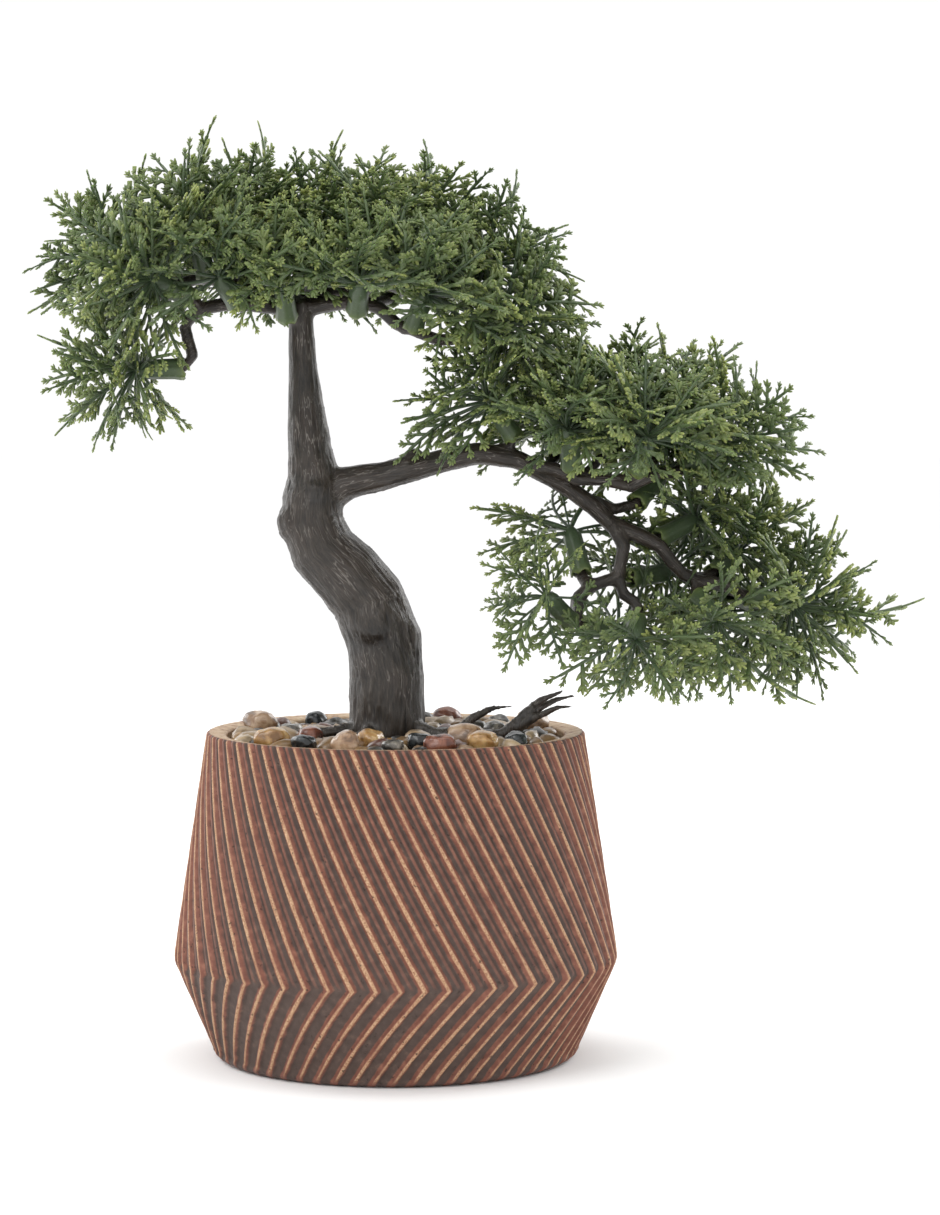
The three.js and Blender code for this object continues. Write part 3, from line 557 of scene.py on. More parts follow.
slots = {part["node"]: part["material_slot"] for part in frame["record"]["subparts"]}
for number, name in enumerate(sorted(n for n in frame["nodes"] if n.startswith("stone_"))):
    low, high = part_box(name)
    middle = (low + high) / 2
    turn = Matrix.Rotation(number * 2.4, 3, "Z")
    mesh = pebble_mesh(20 + number, 9, (1, 1, 1))
    spread = np.array([turn @ v.co for v in mesh.vertices])
    span = spread.max(0) - spread.min(0)
    centre = (spread.max(0) + spread.min(0)) / 2
    placed = (spread - centre) / span * np.array(high - low) + np.array(middle)
    mesh.vertices.foreach_set("co", placed.ravel())
    mesh.materials.append(STONES[slots[name]])
    piece("polished_" + name, sealed(mesh), slots[name], name)


# ------------------------------------------------------------------ trunk
# Trunk, limbs, surface roots and root sprigs are one moulding in dark umber polyethylene.
# The mould was cut from real bark, so fine ridges run along every limb. The raised ones shine, and thin pale lines of
# painted highlight run along them.

# Each limb's middle line and radius in millimetres, with its height from TREE_BASE.
LIMBS = {
    "trunk": [(-2.4, 0, -9, 10.6), (-2.4, 0, 20.4, 10), (-7.2, 0, 41, 10), (-13.4, 0, 48.5, 9.6),
              (-19.6, 0, 54.9, 9.1), (-22.5, 0, 62.5, 8.5), (-22, 0.5, 74.5, 6.9), (-24.1, 1, 94.6, 4.7),
              (-25.1, 0, 116.6, 3.4), (-25.2, 0, 121, 3.6)],
    "side_limb": [(-19, 0, 69, 5.4), (-13.4, -0.5, 72.6, 4.8), (-2.1, -1.5, 74.8, 4), (9.6, -2, 77.7, 3.4),
                  (22.8, -3, 80.7, 3.2), (33, -4, 78.8, 2.8), (46.4, -5, 71.3, 2.6), (57.6, -6, 61.9, 2.4),
                  (65.7, -6, 58.7, 2.2), (70.8, -6, 55.8, 2.1), (77.2, -5, 48.2, 1.9), (86.3, -5, 46.2, 1.8),
                  (90, -5, 44.2, 1.7)],
    "pad_bough": [(36, -5, 77.5, 2), (48.5, -10, 73.7, 1.8), (62.4, -13, 72, 1.7), (69.7, -11, 75.5, 1.7)],
    "hanging_bough": [(57.6, -6, 62.5, 2.2), (61, -8, 56, 2.1), (59.2, -10, 48, 2), (48.4, -11, 42.5, 1.7)],
    "hanging_fork": [(59.2, -10, 48, 1.9), (60.8, -11, 43.3, 1.8), (64.6, -12, 41, 1.7)],
    "crown_left_low": [(-25.2, 0, 119, 2.6), (-34.8, -4, 119.8, 2.2), (-48.8, -8, 119.5, 2), (-55.7, -10, 115, 1.8)],
    "crown_left_high": [(-25.2, 0, 119, 2.6), (-36.5, 0, 121.5, 2.2), (-51.3, 4, 127.5, 1.9), (-61, 5.4, 122.6, 1.7)],
    "crown_right_low": [(-25.2, 0, 119, 2.6), (-14.4, -3, 120.7, 2.1), (-3.8, -6, 119, 2), (6.2, -8, 112.8, 1.7)],
    "crown_right_high": [(-25.2, 0, 119, 2.6), (-17.4, 4, 124, 2.2), (-4, 8, 126.5, 1.8)],
    "crown_back": [(-25.2, 0, 119, 2.6), (-28, 10, 122.5, 2.1), (-29, 20, 124, 1.8)],
}
BARK_VOXEL = 0.58 * MM
RIDGE_SPACING = 1.25  # mm between bark ridges, round a limb
RIDGE_DEPTH = 0.26  # mm on the trunk, and less on a thin limb
LENGTHWISE = 0.11  # how far a ridge is drawn out along its limb
SOFTENED = 8  # rounds of smoothing that take the remesh's steps off
BROW_DEPTH = 1.3  # mm that the bark swells over a healed scar
BROW_SOFTENED = 60  # rounds of smoothing round a scar, before it is raised
# Each scar's place, with half its width and height, in millimetres like the limbs.
BROWS = [(-5.2, -10, 33, 6.5, 4), (-21, -7.6, 69.5, 3.4, 2.6)]


def limb_samples(*names):
    """Points about 1 mm apart along limbs, each with a side and the way of its section, its reach and its radius."""
    rows = []
    for points in (LIMBS[name] for name in names):
        along, side = 0.0, Vector((1, 0, 0))
        for a, b in zip(points, points[1:]):
            start, end = Vector(a[:3]), Vector(b[:3])
            run = end - start
            way = run.normalized()
            side = (side - way * side.dot(way)).normalized()
            count = max(1, round(run.length))
            for k in range(count):
                share = k / count
                rows.append((start + run * share, side, way, along + run.length * share,
                             a[3] + (b[3] - a[3]) * share))
            along += run.length
    return rows


def bark(mesh):
    """Raises lengthwise ridges and the brows over scars on a mesh of the trunk.

    It keeps the coordinates that the ridges follow as "grain", their height as "ridge", and the band under each brow,
    which the colour darkens as painted shadow, as "brow_shadow"."""
    rows = limb_samples(*LIMBS)
    centres = np.array([r[0] for r in rows])
    radii = np.array([r[4] for r in rows])
    points = np.empty(len(mesh.vertices) * 3)
    mesh.vertices.foreach_get("co", points)
    points = points.reshape(-1, 3) / MM - np.array([0, 0, TREE_BASE / MM])
    nearest = np.empty(len(points), int)
    for start in range(0, len(points), 4000):
        part = points[start : start + 4000]
        distance = np.linalg.norm(part[:, None] - centres[None], axis=2) - radii[None]
        nearest[start : start + 4000] = distance.argmin(1)
    sides, ways, along = (np.array([r[i] for r in rows]) for i in (1, 2, 3))
    offset = points - centres[nearest]
    step = (offset * ways[nearest]).sum(1)
    u = (offset * sides[nearest]).sum(1)
    v = (offset * np.cross(ways, sides)[nearest]).sum(1)
    s = along[nearest] + step
    grain = np.stack([u, v, s * LENGTHWISE], 1)
    normals = np.empty(len(points) * 3)
    mesh.vertices.foreach_get("normal", normals)
    normals = normals.reshape(-1, 3)
    depth = np.clip(radii[nearest] / 8, 0.25, 1)
    lift = np.empty(len(points))
    for i, g in enumerate(grain):
        at = Vector(g)
        ridges = 1 - 2.4 * abs(noise.noise(at / RIDGE_SPACING))
        fine = 1 - 2.4 * abs(noise.noise(at / (0.55 * RIDGE_SPACING) + Vector((9, 4, 7))))
        lumps = noise.noise(Vector(points[i]) / 7)
        lift[i] = RIDGE_DEPTH * (ridges + 0.45 * fine) + 0.35 * lumps
    ridge, brow_shadow = lift.copy(), np.zeros(len(points))
    for x, y, z, width, height in BROWS:
        across = (points - (x, y, z)) / (width, width, height)
        over = np.exp(-((across - (0, 0, 0.7)) ** 2).sum(1))
        under = np.exp(-((across + (0, 0, 0.55)) ** 2).sum(1) * 1.2)
        lift += BROW_DEPTH * (over - 0.45 * under)
        # The band under each brow is kept so that the colour can darken it as painted shadow.
        brow_shadow = np.maximum(brow_shadow, under)
    moved = points + normals * (lift * depth - 0.15 * depth)[:, None]
    mesh.vertices.foreach_set("co", ((moved + np.array([0, 0, TREE_BASE / MM])) * MM).ravel())
    store(mesh, "grain", grain, "FLOAT_VECTOR")
    store(mesh, "ridge", ridge)
    store(mesh, "brow_shadow", brow_shadow)
    mesh.update()


def soften_scars(mesh):
    """Smooths the trunk where brows are raised on it afterwards."""
    working = bmesh.new()
    working.from_mesh(mesh)
    near = []
    for x, y, z, width, height in BROWS:
        centre = Vector((x, y, z + TREE_BASE / MM)) * MM
        near += [v for v in working.verts if (v.co - centre).length < 1.7 * width * MM]
    for _ in range(BROW_SOFTENED):
        bmesh.ops.smooth_vert(working, verts=near, factor=0.9, use_axis_x=True, use_axis_y=True, use_axis_z=True)
    working.to_mesh(mesh)
    working.free()


def moulded_bark():
    """Moulded polyethylene with a soft gloss. Its colour is a mix of umber and charcoal drawn out along the limb,
    paler on the highest ridges partly as painted highlight, near black under each scar's brow as painted shadow,
    with thin pale lines along the ridges as painted highlight."""
    material, t, shader = finish("umber_moulded_polyethylene", Roughness=0.35, IOR=1.5)
    grain = node(t, ATTRIBUTE, attribute_name="grain", out=1)
    ridge = node(t, ATTRIBUTE, attribute_name="ridge", out=2)
    streaks = node(t, NOISE, {"Vector": grain, "Scale": 1 / 0.4, "Detail": 4.0, "Roughness": 0.6})
    broad = node(t, NOISE, {"Vector": node(t, "ShaderNodeTexCoord", out=3), "Scale": 1 / (8 * MM),
                                           "Detail": 3.0})
    lines = node(t, NOISE, {"Vector": grain, "Scale": 1 / 1.1, "Detail": 2.0})
    lines = node(t, MATH, {0: node(t, MATH, {0: lines, 1: 0.5}, operation="SUBTRACT")}, operation="ABSOLUTE")
    lines = node(t, RANGE, {0: lines, 1: 0.022, 2: 0.004})
    shiny = node(t, RANGE, {0: broad, 1: 0.42, 2: 0.62, 4: 0.38})
    lifted = node(t, MATH, {0: ridge, 1: 0.4, 2: streaks}, operation="MULTIPLY_ADD")
    # The palest stops, on the highest ridges, are partly the ridges' own lighter tone and partly painted highlight.
    colour = node(t, RAMP, {0: lifted}, stops=[(0.35, "#161311"), (0.52, "#27221c"), (0.7, "#352e27"),
                                                               (0.85, "#4f4841"), (1.0, "#7d766e")])
    warm = node(t, RANGE, {0: broad, 1: 0.4, 2: 0.65, 4: 0.35})
    colour = node(t, MIX, {0: warm, 6: colour, 7: "#33261e"}, 2, data_type="RGBA")
    # Under each brow the colour goes near black: a painted shadow below the swelling.
    sunk = node(t, MATH, {0: node(t, ATTRIBUTE, attribute_name="brow_shadow", out=2), 1: 0.7},
                operation="MULTIPLY")
    colour = node(t, MIX, {0: sunk, 6: colour, 7: "#0f0d0b"}, 2, data_type="RGBA")
    # The thin pale lines along the grain, in the broad patches, are painted highlight.
    wear_and_painted_highlight = node(t, MATH, {0: lines, 1: shiny}, operation="MULTIPLY")
    feed(t, shader, {"Base Color": node(t, MIX, {0: wear_and_painted_highlight, 6: colour, 7: "#a39d95"}, 2, data_type="RGBA"),
                     "Roughness": node(t, RANGE, {0: streaks, 1: 0.3, 2: 0.7, 3: 0.46, 4: 0.24}),
                     "Normal": node(t, BUMP, {"Height": streaks, "Strength": 0.9, "Distance": 0.3 * MM})})
    return material


def merged_copy(name):
    """A CAD node's mesh with its loose triangles joined."""
    mesh = frame["nodes"][name].data.copy()
    mesh.materials.clear()
    working = bmesh.new()
    working.from_mesh(mesh)
    bmesh.ops.remove_doubles(working, verts=working.verts, dist=0.001 * MM)
    working.to_mesh(mesh)
    working.free()
    return mesh


trunk_cad = merged_copy("trunk")
shaped = bpy.data.objects.new("trunk_shape", trunk_cad.copy())
bpy.context.scene.collection.objects.link(shaped)
remesh = shaped.modifiers.new("even", "REMESH")
remesh.mode = "VOXEL"
remesh.voxel_size = BARK_VOXEL
smooth = shaped.modifiers.new("soften", "SMOOTH")
smooth.factor = 0.6
smooth.iterations = SOFTENED
trunk_mesh = bpy.data.meshes.new_from_object(shaped.evaluated_get(bpy.context.evaluated_depsgraph_get()))
bpy.data.objects.remove(shaped)
soften_scars(trunk_mesh)
trunk_mesh.shade_smooth()
bark(trunk_mesh)
trunk_mesh.materials.append(moulded_bark())
piece("bark_moulded_trunk", trunk_mesh, "bark_plastic", "trunk")


# ------------------------------------------------------------------ leaf sprays
# Each spray is one moulding in soft green polyethylene: a ribbed collar that pushes over a twig's end, and a fan of
# flat fronds that spring from its closed end. The fronds branch like a cypress, and their tips are tinted yellow.

FROND_LENGTH = 29 * MM
FROND_KINDS = 6
# How many fronds a spray has, by where it grows.
FRONDS = {"spray_crown": 34, "spray_pad": 30, "spray_limb": 22, "spray_fork": 20, "spray_hanging": 20}
SMALLER_SPRAYS = {"spray_hanging_left": 0.78}
TOWARDS_AXIS = 1.15  # over 1, it crowds a spray's fronds towards its axis
FAN = math.radians(112)  # how far from the spray's axis the outermost fronds lie
STEM_RADIUS = 0.52 * MM
BRANCHLET = 8.4 * MM
COLLAR_LENGTH = 12.8 * MM
COLLAR_RADIUS = 2.6 * MM
COLLAR_AROUND = 24
MOUTH_FLARE = 0.35 * MM
GOLDEN_ANGLE = math.pi * (3 - math.sqrt(5))  # from one frond to the next round the spray
HUB_CAP = 1.6 * MM  # from the bore's deep end to the hub that the fronds spring from
HUB_RADIUS = 0.6 * MM
HUB_DEPTH = 0.9 * MM  # how far back down the collar the outermost fronds spring
BORE_REACH = 0.75 * MM  # a corner of the bore lies this near to its twig, and no other corner of a spray does
BORE_RADIUS = 2.3 * MM  # more than the bore's radius, and less than the mouth's
LIMB_GAP = 1.5 * MM  # a frond that would meet the trunk ends this far short of it
SHORTEST = 0.55  # a frond cut shorter than this share of its length is left out


def leaf_plastic():
    """Soft moulded polyethylene, blue-green in the stems. A sprayed tint turns the tips yellow-green, and the thin
    tips let light through."""
    material, t, shader = finish("leaf_green_polyethylene", Roughness=0.42, IOR=1.5, Subsurface_Weight=0.25,
                                 Subsurface_Radius=(0.5 * MM, 0.8 * MM, 0.25 * MM), Subsurface_Scale=1.0)
    tip = node(t, ATTRIBUTE, attribute_name="tip", out=2)
    shade = node(t, ATTRIBUTE, attribute_name="shade", out=2)
    place = node(t, "ShaderNodeTexCoord", out=3)
    mottle = node(t, NOISE, {"Vector": place, "Scale": 1 / (6 * MM), "Detail": 3.0})
    fine = node(t, NOISE, {"Vector": place, "Scale": 1 / (0.7 * MM), "Detail": 2.0})
    along = node(t, MATH, {0: tip, 1: 0.72, 2: node(t, MATH, {0: mottle, 1: 0.3}, operation="MULTIPLY")},
                 operation="MULTIPLY_ADD")
    along = node(t, MATH, {0: shade, 1: 0.12, 2: along}, operation="MULTIPLY_ADD")
    colour = node(t, RAMP, {0: along}, stops=[
        (0.1, "#3c4b37"), (0.4, "#4a5a3b"), (0.65, "#58683d"), (0.85, "#6d7a44"), (1.0, "#929a55")])
    dusty = node(t, RANGE, {0: fine, 1: 0.6, 2: 0.75, 4: 0.22})
    feed(t, shader, {"Base Color": node(t, MIX, {0: dusty, 6: colour, 7: "#86a184"}, 2, data_type="RGBA"),
                     "Normal": node(t, BUMP, {"Height": fine, "Strength": 0.3, "Distance": 0.1 * MM})})
    return material


def add_spike(working, tips, foot, head, widths, thickness, shares):
    """A flat tapering blade between two points of the XZ plane, closed at both ends. Shares colour its rings."""
    way = (head - foot).normalized()
    across = Vector((way.z, 0, -way.x))
    rings = []
    for k, width in enumerate(widths):
        centre = foot.lerp(head, k / (len(widths) - 1))
        corners = (across * width, Vector((0, thickness * (0.6 + 0.4 * width / max(widths)), 0)))
        ring = [working.verts.new(centre + c) for c in (corners[0], corners[1], -corners[0], -corners[1])]
        share = shares[0] + (shares[1] - shares[0]) * k / (len(widths) - 1)
        for vertex in ring:
            vertex[tips] = share
        rings.append(ring)
    working.faces.new(rings[0][::-1])
    working.faces.new(rings[-1])
    for low, high in zip(rings, rings[1:]):
        for k in range(4):
            working.faces.new((low[k], low[(k + 1) % 4], high[(k + 1) % 4], high[k]))


def branchlet_mesh():
    """A side branchlet 1 unit long in the XZ plane: a flat blade with two pairs of barbs and a three-pronged tip."""
    working = bmesh.new()
    tips = working.verts.layers.float.new("tip")
    add_spike(working, tips, Vector((0, 0, 0)), Vector((0, 0, 0.82)), (0.07, 0.075, 0.07), 0.06, (0.35, 0.8))
    for z, lean, length in ((0.34, 38, 0.36), (0.55, -38, 0.34), (0.78, 36, 0.3), (0.78, -36, 0.28), (0.8, 0, 0.32)):
        a = math.radians(lean)
        foot = Vector((0, 0, z))
        head = foot + Vector((math.sin(a), 0, math.cos(a))) * length
        add_spike(working, tips, foot, head, (0.07, 0.075, 0.03), 0.055, (0.6 if z < 0.6 else 0.75, 1))
    bmesh.ops.recalc_face_normals(working, faces=working.faces)
    mesh = bpy.data.meshes.new("branchlet")
    working.to_mesh(mesh)
    working.free()
    return mesh


def frond_tree(material, branchlet):
    """Sets branchlets alternately down a tapering stem, longest a third of the way up, and bends the whole frond."""
    t, given, output = open_group("frond", {
        "Length": FROND_LENGTH, "Branchlets": 11, "Bare Share": 0.26, "Branchlet Length": BRANCHLET,
        "Stem Radius": STEM_RADIUS, "Lean": math.radians(46), "Bend": 0.16, "Sway": 0.05, "Seed": 1})
    top = node(t, COMBINE, {2: node(t, MATH, {0: given["Length"], 1: 0.87}, operation="MULTIPLY")})
    line = node(t, "GeometryNodeCurvePrimitiveLine", {"End": top})
    stem = node(t, "GeometryNodeResampleCurve", {"Curve": line, "Count": 7})
    place = node(t, "GeometryNodeSplineParameter")
    taper = node(t, RANGE, {0: place, 3: 1.15, 4: 0.55})
    stem = node(t, "GeometryNodeSetCurveRadius", {"Curve": stem, "Radius": taper})
    ring = node(t, "GeometryNodeCurvePrimitiveCircle", {"Resolution": 5, "Radius": given["Stem Radius"]})
    stem = node(t, "GeometryNodeStoreNamedAttribute", {
        "Geometry": stem, "Name": "tip", "Value": node(t, MATH, {0: place, 1: 0.45}, operation="MULTIPLY")})
    stem = node(t, "GeometryNodeCurveToMesh", {"Curve": stem, "Profile Curve": ring, "Fill Caps": True})

    points = node(t, "GeometryNodePoints", {"Count": given["Branchlets"]})
    index = node(t, "GeometryNodeInputIndex")
    last = node(t, MATH, {0: given["Branchlets"], 1: 1.0}, operation="SUBTRACT")
    share = node(t, MATH, {0: index, 1: last}, operation="DIVIDE")
    height = node(t, RANGE, {0: share, 3: given["Bare Share"], 4: 0.86})
    height = node(t, MATH, {0: height, 1: given["Length"]}, operation="MULTIPLY")
    raised = node(t, COMBINE, {2: height})
    points = node(t, "GeometryNodeSetPosition", {"Geometry": points, "Position": raised})
    odd = node(t, MATH, {0: index, 1: 2.0}, operation="MODULO")
    is_last = node(t, MATH, {0: share, 1: 0.99}, operation="GREATER_THAN")
    side = node(t, RANGE, {0: odd, 3: -1.0, 4: 1.0})
    jitter = node(t, "FunctionNodeRandomValue", {2: 0.8, 3: 1.2, "Seed": given["Seed"]}, 1)
    lean = node(t, MATH, {0: node(t, MATH, {0: given["Lean"], 1: jitter}, operation="MULTIPLY"), 1: side},
                operation="MULTIPLY")
    lean = node(t, MATH, {0: lean, 1: node(t, MATH, {0: 1.0, 1: is_last}, operation="SUBTRACT")},
                operation="MULTIPLY")
    roll = node(t, "FunctionNodeRandomValue", {2: -0.5, 3: 0.5, "Seed": given["Seed"]}, 1)
    turn = node(t, COMBINE, {1: lean, 2: roll})
    grow = node(t, "ShaderNodeFloatCurve", {1: share})
    shape = grow.node.mapping.curves[0].points
    shape[0].location, shape[-1].location = (0.0, 0.62), (1.0, 0.62)
    for along_stem, value in ((0.32, 1.0), (0.7, 0.78)):
        shape.new(along_stem, value)
    size = node(t, MATH, {0: node(t, MATH, {0: grow, 1: given["Branchlet Length"]}, operation="MULTIPLY"), 1: jitter},
                operation="MULTIPLY")
    source = node(t, "GeometryNodeObjectInfo", {"Object": branchlet}).node.outputs["Geometry"]
    leaves = node(t, "GeometryNodeInstanceOnPoints", {"Points": points, "Instance": source, "Rotation": turn,
                                                      "Scale": size})
    leaves = node(t, "GeometryNodeRealizeInstances", {"Geometry": leaves})
    whole = node(t, "GeometryNodeJoinGeometry", {0: [leaves, stem]})
    position = node(t, SEPARATE, {0: node(t, "GeometryNodeInputPosition")}).node.outputs
    along = node(t, MATH, {0: position[2], 1: given["Length"]}, operation="DIVIDE")
    squared = node(t, MATH, {0: along, 1: 2.0}, operation="POWER")
    back = node(t, MATH, {0: squared, 1: given["Bend"]}, operation="MULTIPLY")
    swing = node(t, MATH, {0: node(t, MATH, {0: along, 1: 4.0}, operation="MULTIPLY")}, operation="SINE")
    swing = node(t, MATH, {0: swing, 1: given["Sway"]}, operation="MULTIPLY")
    shift = node(t, COMBINE, {0: swing, 1: back, 2: node(
        t, MATH, {0: back, 1: -0.35}, operation="MULTIPLY")})
    shift = node(t, "ShaderNodeVectorMath", {0: shift, "Scale": given["Length"]}, operation="SCALE")
    bent = node(t, "GeometryNodeSetPosition", {"Geometry": whole, "Offset": shift})
    return close_group(t, bent, material, output)


def collar_mesh():
    """The collar, ribbed lengthwise and scalloped round its mouth, from the mouth at the origin to its domed end."""
    working = bmesh.new()
    tips = working.verts.layers.float.new("tip")
    around, length = COLLAR_AROUND, COLLAR_LENGTH
    rings = []
    outline = [(1.9 * MM, 8.2 * MM, 0.1), (1.95 * MM, 1.5 * MM, 0.3), (2.6 * MM, -0.2 * MM, 0.8),
               (COLLAR_RADIUS + MOUTH_FLARE, 0, 1.0), (COLLAR_RADIUS + 0.25 * MM, 1.0 * MM, 0.6),
               (COLLAR_RADIUS, 2.4 * MM, 0.3), (COLLAR_RADIUS - 0.1 * MM, 0.6 * length, 0.15),
               (COLLAR_RADIUS - 0.2 * MM, 0.85 * length, 0.1), (COLLAR_RADIUS - 1.1 * MM, 0.97 * length, 0.1),
               (0.9 * MM, length + 0.5 * MM, 0.1)]
    for k, (radius, z, tip) in enumerate(outline):
        ring = []
        for i in range(around):
            a = math.tau * i / around
            rib = (0.16 * MM if 3 <= k < 8 else 0) * (1 if i % 3 == 0 else -0.4)
            scallop = 0.45 * MM * math.cos(5 * a) * (k in (2, 3))
            vertex = working.verts.new(((radius + rib) * math.cos(a), (radius + rib) * math.sin(a), z + scallop))
            vertex[tips] = tip
            ring.append(vertex)
        rings.append(ring)
    for low, high in zip(rings, rings[1:]):
        for i in range(around):
            working.faces.new((low[i], low[(i + 1) % around], high[(i + 1) % around], high[i]))
    working.faces.new(rings[0][::-1])
    working.faces.new(rings[-1])
    bmesh.ops.recalc_face_normals(working, faces=working.faces)
    mesh = bpy.data.meshes.new("collar")
    working.to_mesh(mesh)
    working.free()
    return mesh


def spray_tree(material, fronds, collar):
    """Puts a frond on each hub point and the collar on the first, turned as the points' attributes say."""
    t, given, output = open_group("spray", {"Frond Scale": 1.0})
    turn, size, kind, shade = (
        node(t, STORED, {"Name": name}, data_type=data)
        for name, data in (("turn", "FLOAT_VECTOR"), ("size", "FLOAT"), ("kind", "INT"), ("shade", "FLOAT")))
    points = node(t, "GeometryNodeMeshToPoints", {"Mesh": given["Geometry"]})
    is_collar = node(t, "FunctionNodeCompare", {2: kind, 3: -1}, data_type="INT", operation="EQUAL")
    parts = node(t, "GeometryNodeSeparateGeometry", {"Geometry": points, "Selection": is_collar}).node.outputs
    kinds = node(t, "GeometryNodeGeometryToInstance", {0: [
        node(t, "GeometryNodeObjectInfo", {"Object": source}).node.outputs["Geometry"] for source in fronds]})
    scale = node(t, MATH, {0: size, 1: given["Frond Scale"]}, operation="MULTIPLY")
    leaves = node(t, "GeometryNodeInstanceOnPoints", {
        "Points": parts[1], "Instance": kinds, "Pick Instance": True, "Instance Index": kind, "Rotation": turn,
        "Scale": scale})
    foot = node(t, "GeometryNodeInstanceOnPoints", {
        "Points": parts[0], "Rotation": turn,
        "Instance": node(t, "GeometryNodeObjectInfo", {"Object": collar}).node.outputs["Geometry"]})
    whole = node(t, "GeometryNodeJoinGeometry", {0: [leaves, foot]})
    kept = node(t, "GeometryNodeStoreNamedAttribute", {"Geometry": whole, "Name": "shade", "Value": shade},
                domain="INSTANCE")
    return close_group(t, kept, material, output)


# The height in mm over TREE_BASE that no frond reaches below, for each group and for the sprays at the crown's sides.
LOWEST = {"spray_crown": 118, "spray_pad": 74, "spray_limb": 16, "spray_fork": 16, "spray_hanging": 16}
SIDE_SPRAYS_LOWEST = {"spray_crown_far_left_low": 84, "spray_crown_left_low": 96, "spray_crown_far_left": 104,
                      "spray_crown_right_low": 98, "spray_crown_far_right": 102, "spray_crown_right_front": 104}
COVERS_LIMB = 3  # mm that a frond keeps from a limb's edge, as seen from the front
TRIMMED_SHARE = 0.85  # of the fronds that would hide a limb
BEHIND = ("crown_back", "crown_right_high")  # the limbs that don't show from the front
# Single fronds that stand out beyond the rest: the way each points, and its length as a share of FROND_LENGTH.
SPRIGS = {"spray_crown_left_front": ((-0.15, 0.03, 1), 1.1), "spray_crown_left_top": ((0.38, 0, 0.92), 1.02),
          "spray_limb_under": ((0.5, 0, -0.9), 1.2), "spray_limb_tip": ((0.98, -0.1, -0.3), 1.2)}
shown_limbs = limb_samples(*(name for name in LIMBS if name not in BEHIND))
limb_centres = np.array([r[0] for r in shown_limbs])
limb_radii = np.array([r[4] for r in shown_limbs])


def hides_a_limb(start, ray, reach):
    """Whether a frond passes in front of a limb, as seen from the front. Those are trimmed off, to show the limbs."""
    for share in (0.3, 0.45, 0.6, 0.75, 0.9, 1.0):
        x, y, z = (start + ray * reach * share) / MM
        offset = limb_centres - np.array([x, y, z - TREE_BASE / MM])
        covers = (np.hypot(offset[:, 0], offset[:, 2]) < limb_radii + COVERS_LIMB) & (offset[:, 1] > limb_radii)
        if covers.any():
            return True
    return False


trunk_bvh = BVHTree.FromPolygons([v.co for v in trunk_cad.vertices], [p.vertices for p in trunk_cad.polygons])


def spray_axis(name):
    """Where a spray's collar starts, the way that it points and where its fronds spring from, from its CAD bore."""
    mesh = frame["nodes"][name].data
    points = np.unique(np.round([v.co for v in mesh.vertices], 7), axis=0)
    bore = np.array([p for p in points if trunk_bvh.find_nearest(Vector(p))[3] < BORE_REACH])
    middle = bore.mean(0)
    way = Vector(np.linalg.svd(bore - middle)[2][0])
    if way.dot(Vector(points.mean(0) - middle)) < 0:
        way = -way
    along = (bore - middle) @ np.array(way)
    across = np.linalg.norm((bore - middle) - along[:, None] * np.array(way), axis=1)
    ends = along[across < BORE_RADIUS]
    origin = Vector(middle)
    return origin + way * ends.min(), way, origin + way * (ends.max() + HUB_CAP)


def seed_of(name):
    """A seed from a piece's name that is the same in every run."""
    return sum((i + 1) * ord(c) for i, c in enumerate(name))


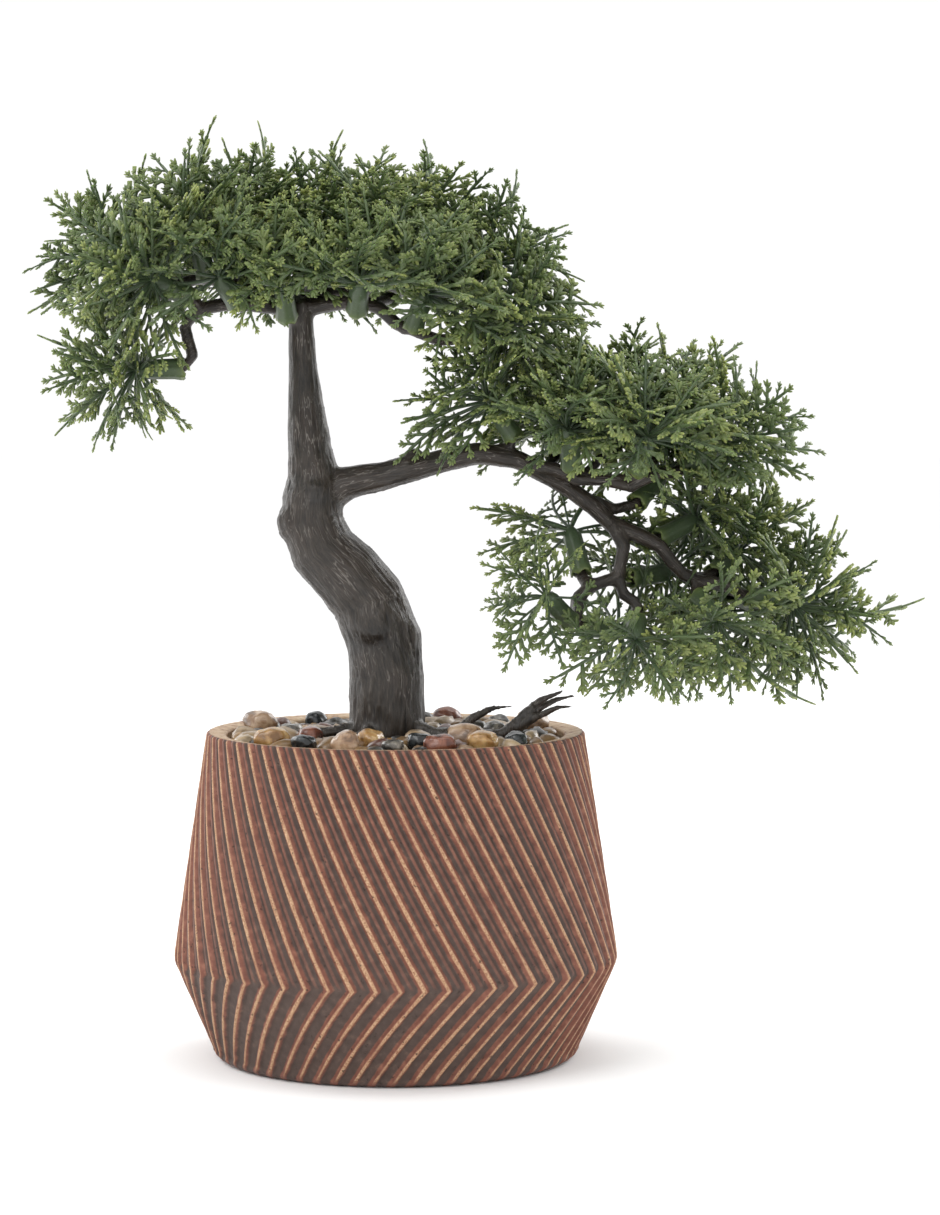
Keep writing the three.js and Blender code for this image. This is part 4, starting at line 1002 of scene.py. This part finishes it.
def hub_points(name, mouth, way, hub):
    """The points, turns, sizes, kinds and shades of a spray's fronds, with the collar's first."""
    draw = np.random.default_rng(seed_of(name))
    base = way.to_track_quat("Z", "Y").to_matrix()
    places, turns, sizes, kinds, shades = [mouth], [base.to_euler()], [1.0], [-1], [0.0]
    spin = draw.uniform(0, math.tau)
    group = "_".join(name.split("_")[:2])
    lowest = TREE_BASE + SIDE_SPRAYS_LOWEST.get(name, LOWEST[group]) * MM
    rays = []
    for k in range(FRONDS[group]):
        share = ((k + 0.6) / FRONDS[group]) ** TOWARDS_AXIS
        polar = math.acos(1 - share * (1 - math.cos(FAN))) + draw.uniform(-0.1, 0.1)
        around = spin + k * GOLDEN_ANGLE + draw.uniform(-0.15, 0.15)
        local = Vector((math.sin(polar) * math.cos(around), math.sin(polar) * math.sin(around), math.cos(polar)))
        rays.append(base @ local)
    for ray in rays:
        reach = FROND_LENGTH * draw.uniform(0.8, 1.0)
        start = hub + ray * HUB_RADIUS - way * (HUB_DEPTH * (1 - ray.dot(way)))
        roll, kind, shade = draw.normal(0, 0.45), int(draw.integers(0, FROND_KINDS)), draw.uniform(-1, 1)
        trimmed = draw.random() < TRIMMED_SHARE and hides_a_limb(start, ray, reach)
        hit = trunk_bvh.ray_cast(start + ray * 2 * MM, ray, reach)
        if hit[0] is not None:
            reach = (hit[0] - start).length - LIMB_GAP
        if start.z + ray.z * reach < lowest:
            reach = (start.z - lowest) / -ray.z
        if trimmed or reach < SHORTEST * FROND_LENGTH:
            continue
        # A frond's flat side faces along the axis, give or take a turn, and it bends away from the axis.
        outward = ray - way * ray.dot(way)
        outward = outward.normalized() if outward.length > 0.05 else base.col[0].copy()
        normal = (way - ray * way.dot(ray)).normalized() if abs(way.dot(ray)) < 0.98 else outward
        normal = Matrix.Rotation(roll, 3, ray) @ normal
        side = normal.cross(ray)
        turn = Matrix((side, -normal, ray)).transposed()
        if turn.determinant() < 0:
            turn = Matrix((-side, -normal, ray)).transposed()
        places.append(start)
        turns.append(turn.to_euler())
        sizes.append(reach / FROND_LENGTH)
        kinds.append(kind)
        shades.append(shade)
    if name in SPRIGS:
        ray, size = SPRIGS[name]
        places.append(hub)
        turns.append(Vector(ray).to_track_quat("Z", "Y").to_euler())
        sizes.append(size)
        kinds.append(0)
        shades.append(0.5)
    return places, turns, sizes, kinds, shades


leaf = leaf_plastic()
branchlet = bpy.data.objects.new("branchlet", branchlet_mesh())
branchlet.data.shade_smooth()
single_frond = frond_tree(leaf, branchlet)
fronds = []
for k in range(FROND_KINDS):
    seed_mesh = bpy.data.meshes.new("frond_seed")
    mesh = grown(seed_mesh, single_frond, {
        "Seed": 3 + k, "Branchlets": 7 + k % 3, "Bend": 0.06 + 0.05 * k, "Sway": (-1) ** k * (0.02 + 0.01 * k),
        "Bare Share": 0.24 + 0.02 * (k % 4), "Lean": math.radians(42 + 2 * k)}, f"frond_{k}")
    fronds.append(bpy.data.objects.new(f"frond_{k}", mesh))
collar = bpy.data.objects.new("collar", collar_mesh())
whole_spray = spray_tree(leaf, fronds, collar)
for name in sorted(n for n in frame["nodes"] if n.startswith("spray_")):
    mouth, way, hub = spray_axis(name)
    places, turns, sizes, kinds, shades = hub_points(name, mouth, way, hub)
    hub_mesh = bpy.data.meshes.new("hub")
    hub_mesh.from_pydata(places, [], [])
    store(hub_mesh, "turn", [tuple(turn) for turn in turns], "FLOAT_VECTOR")
    store(hub_mesh, "size", sizes)
    store(hub_mesh, "kind", kinds, "INT")
    store(hub_mesh, "shade", shades)
    spray_mesh = grown(hub_mesh, whole_spray, {"Frond Scale": SMALLER_SPRAYS.get(name, 1.0)}, name)
    piece("leafy_" + name, spray_mesh, "leaf_plastic", name)
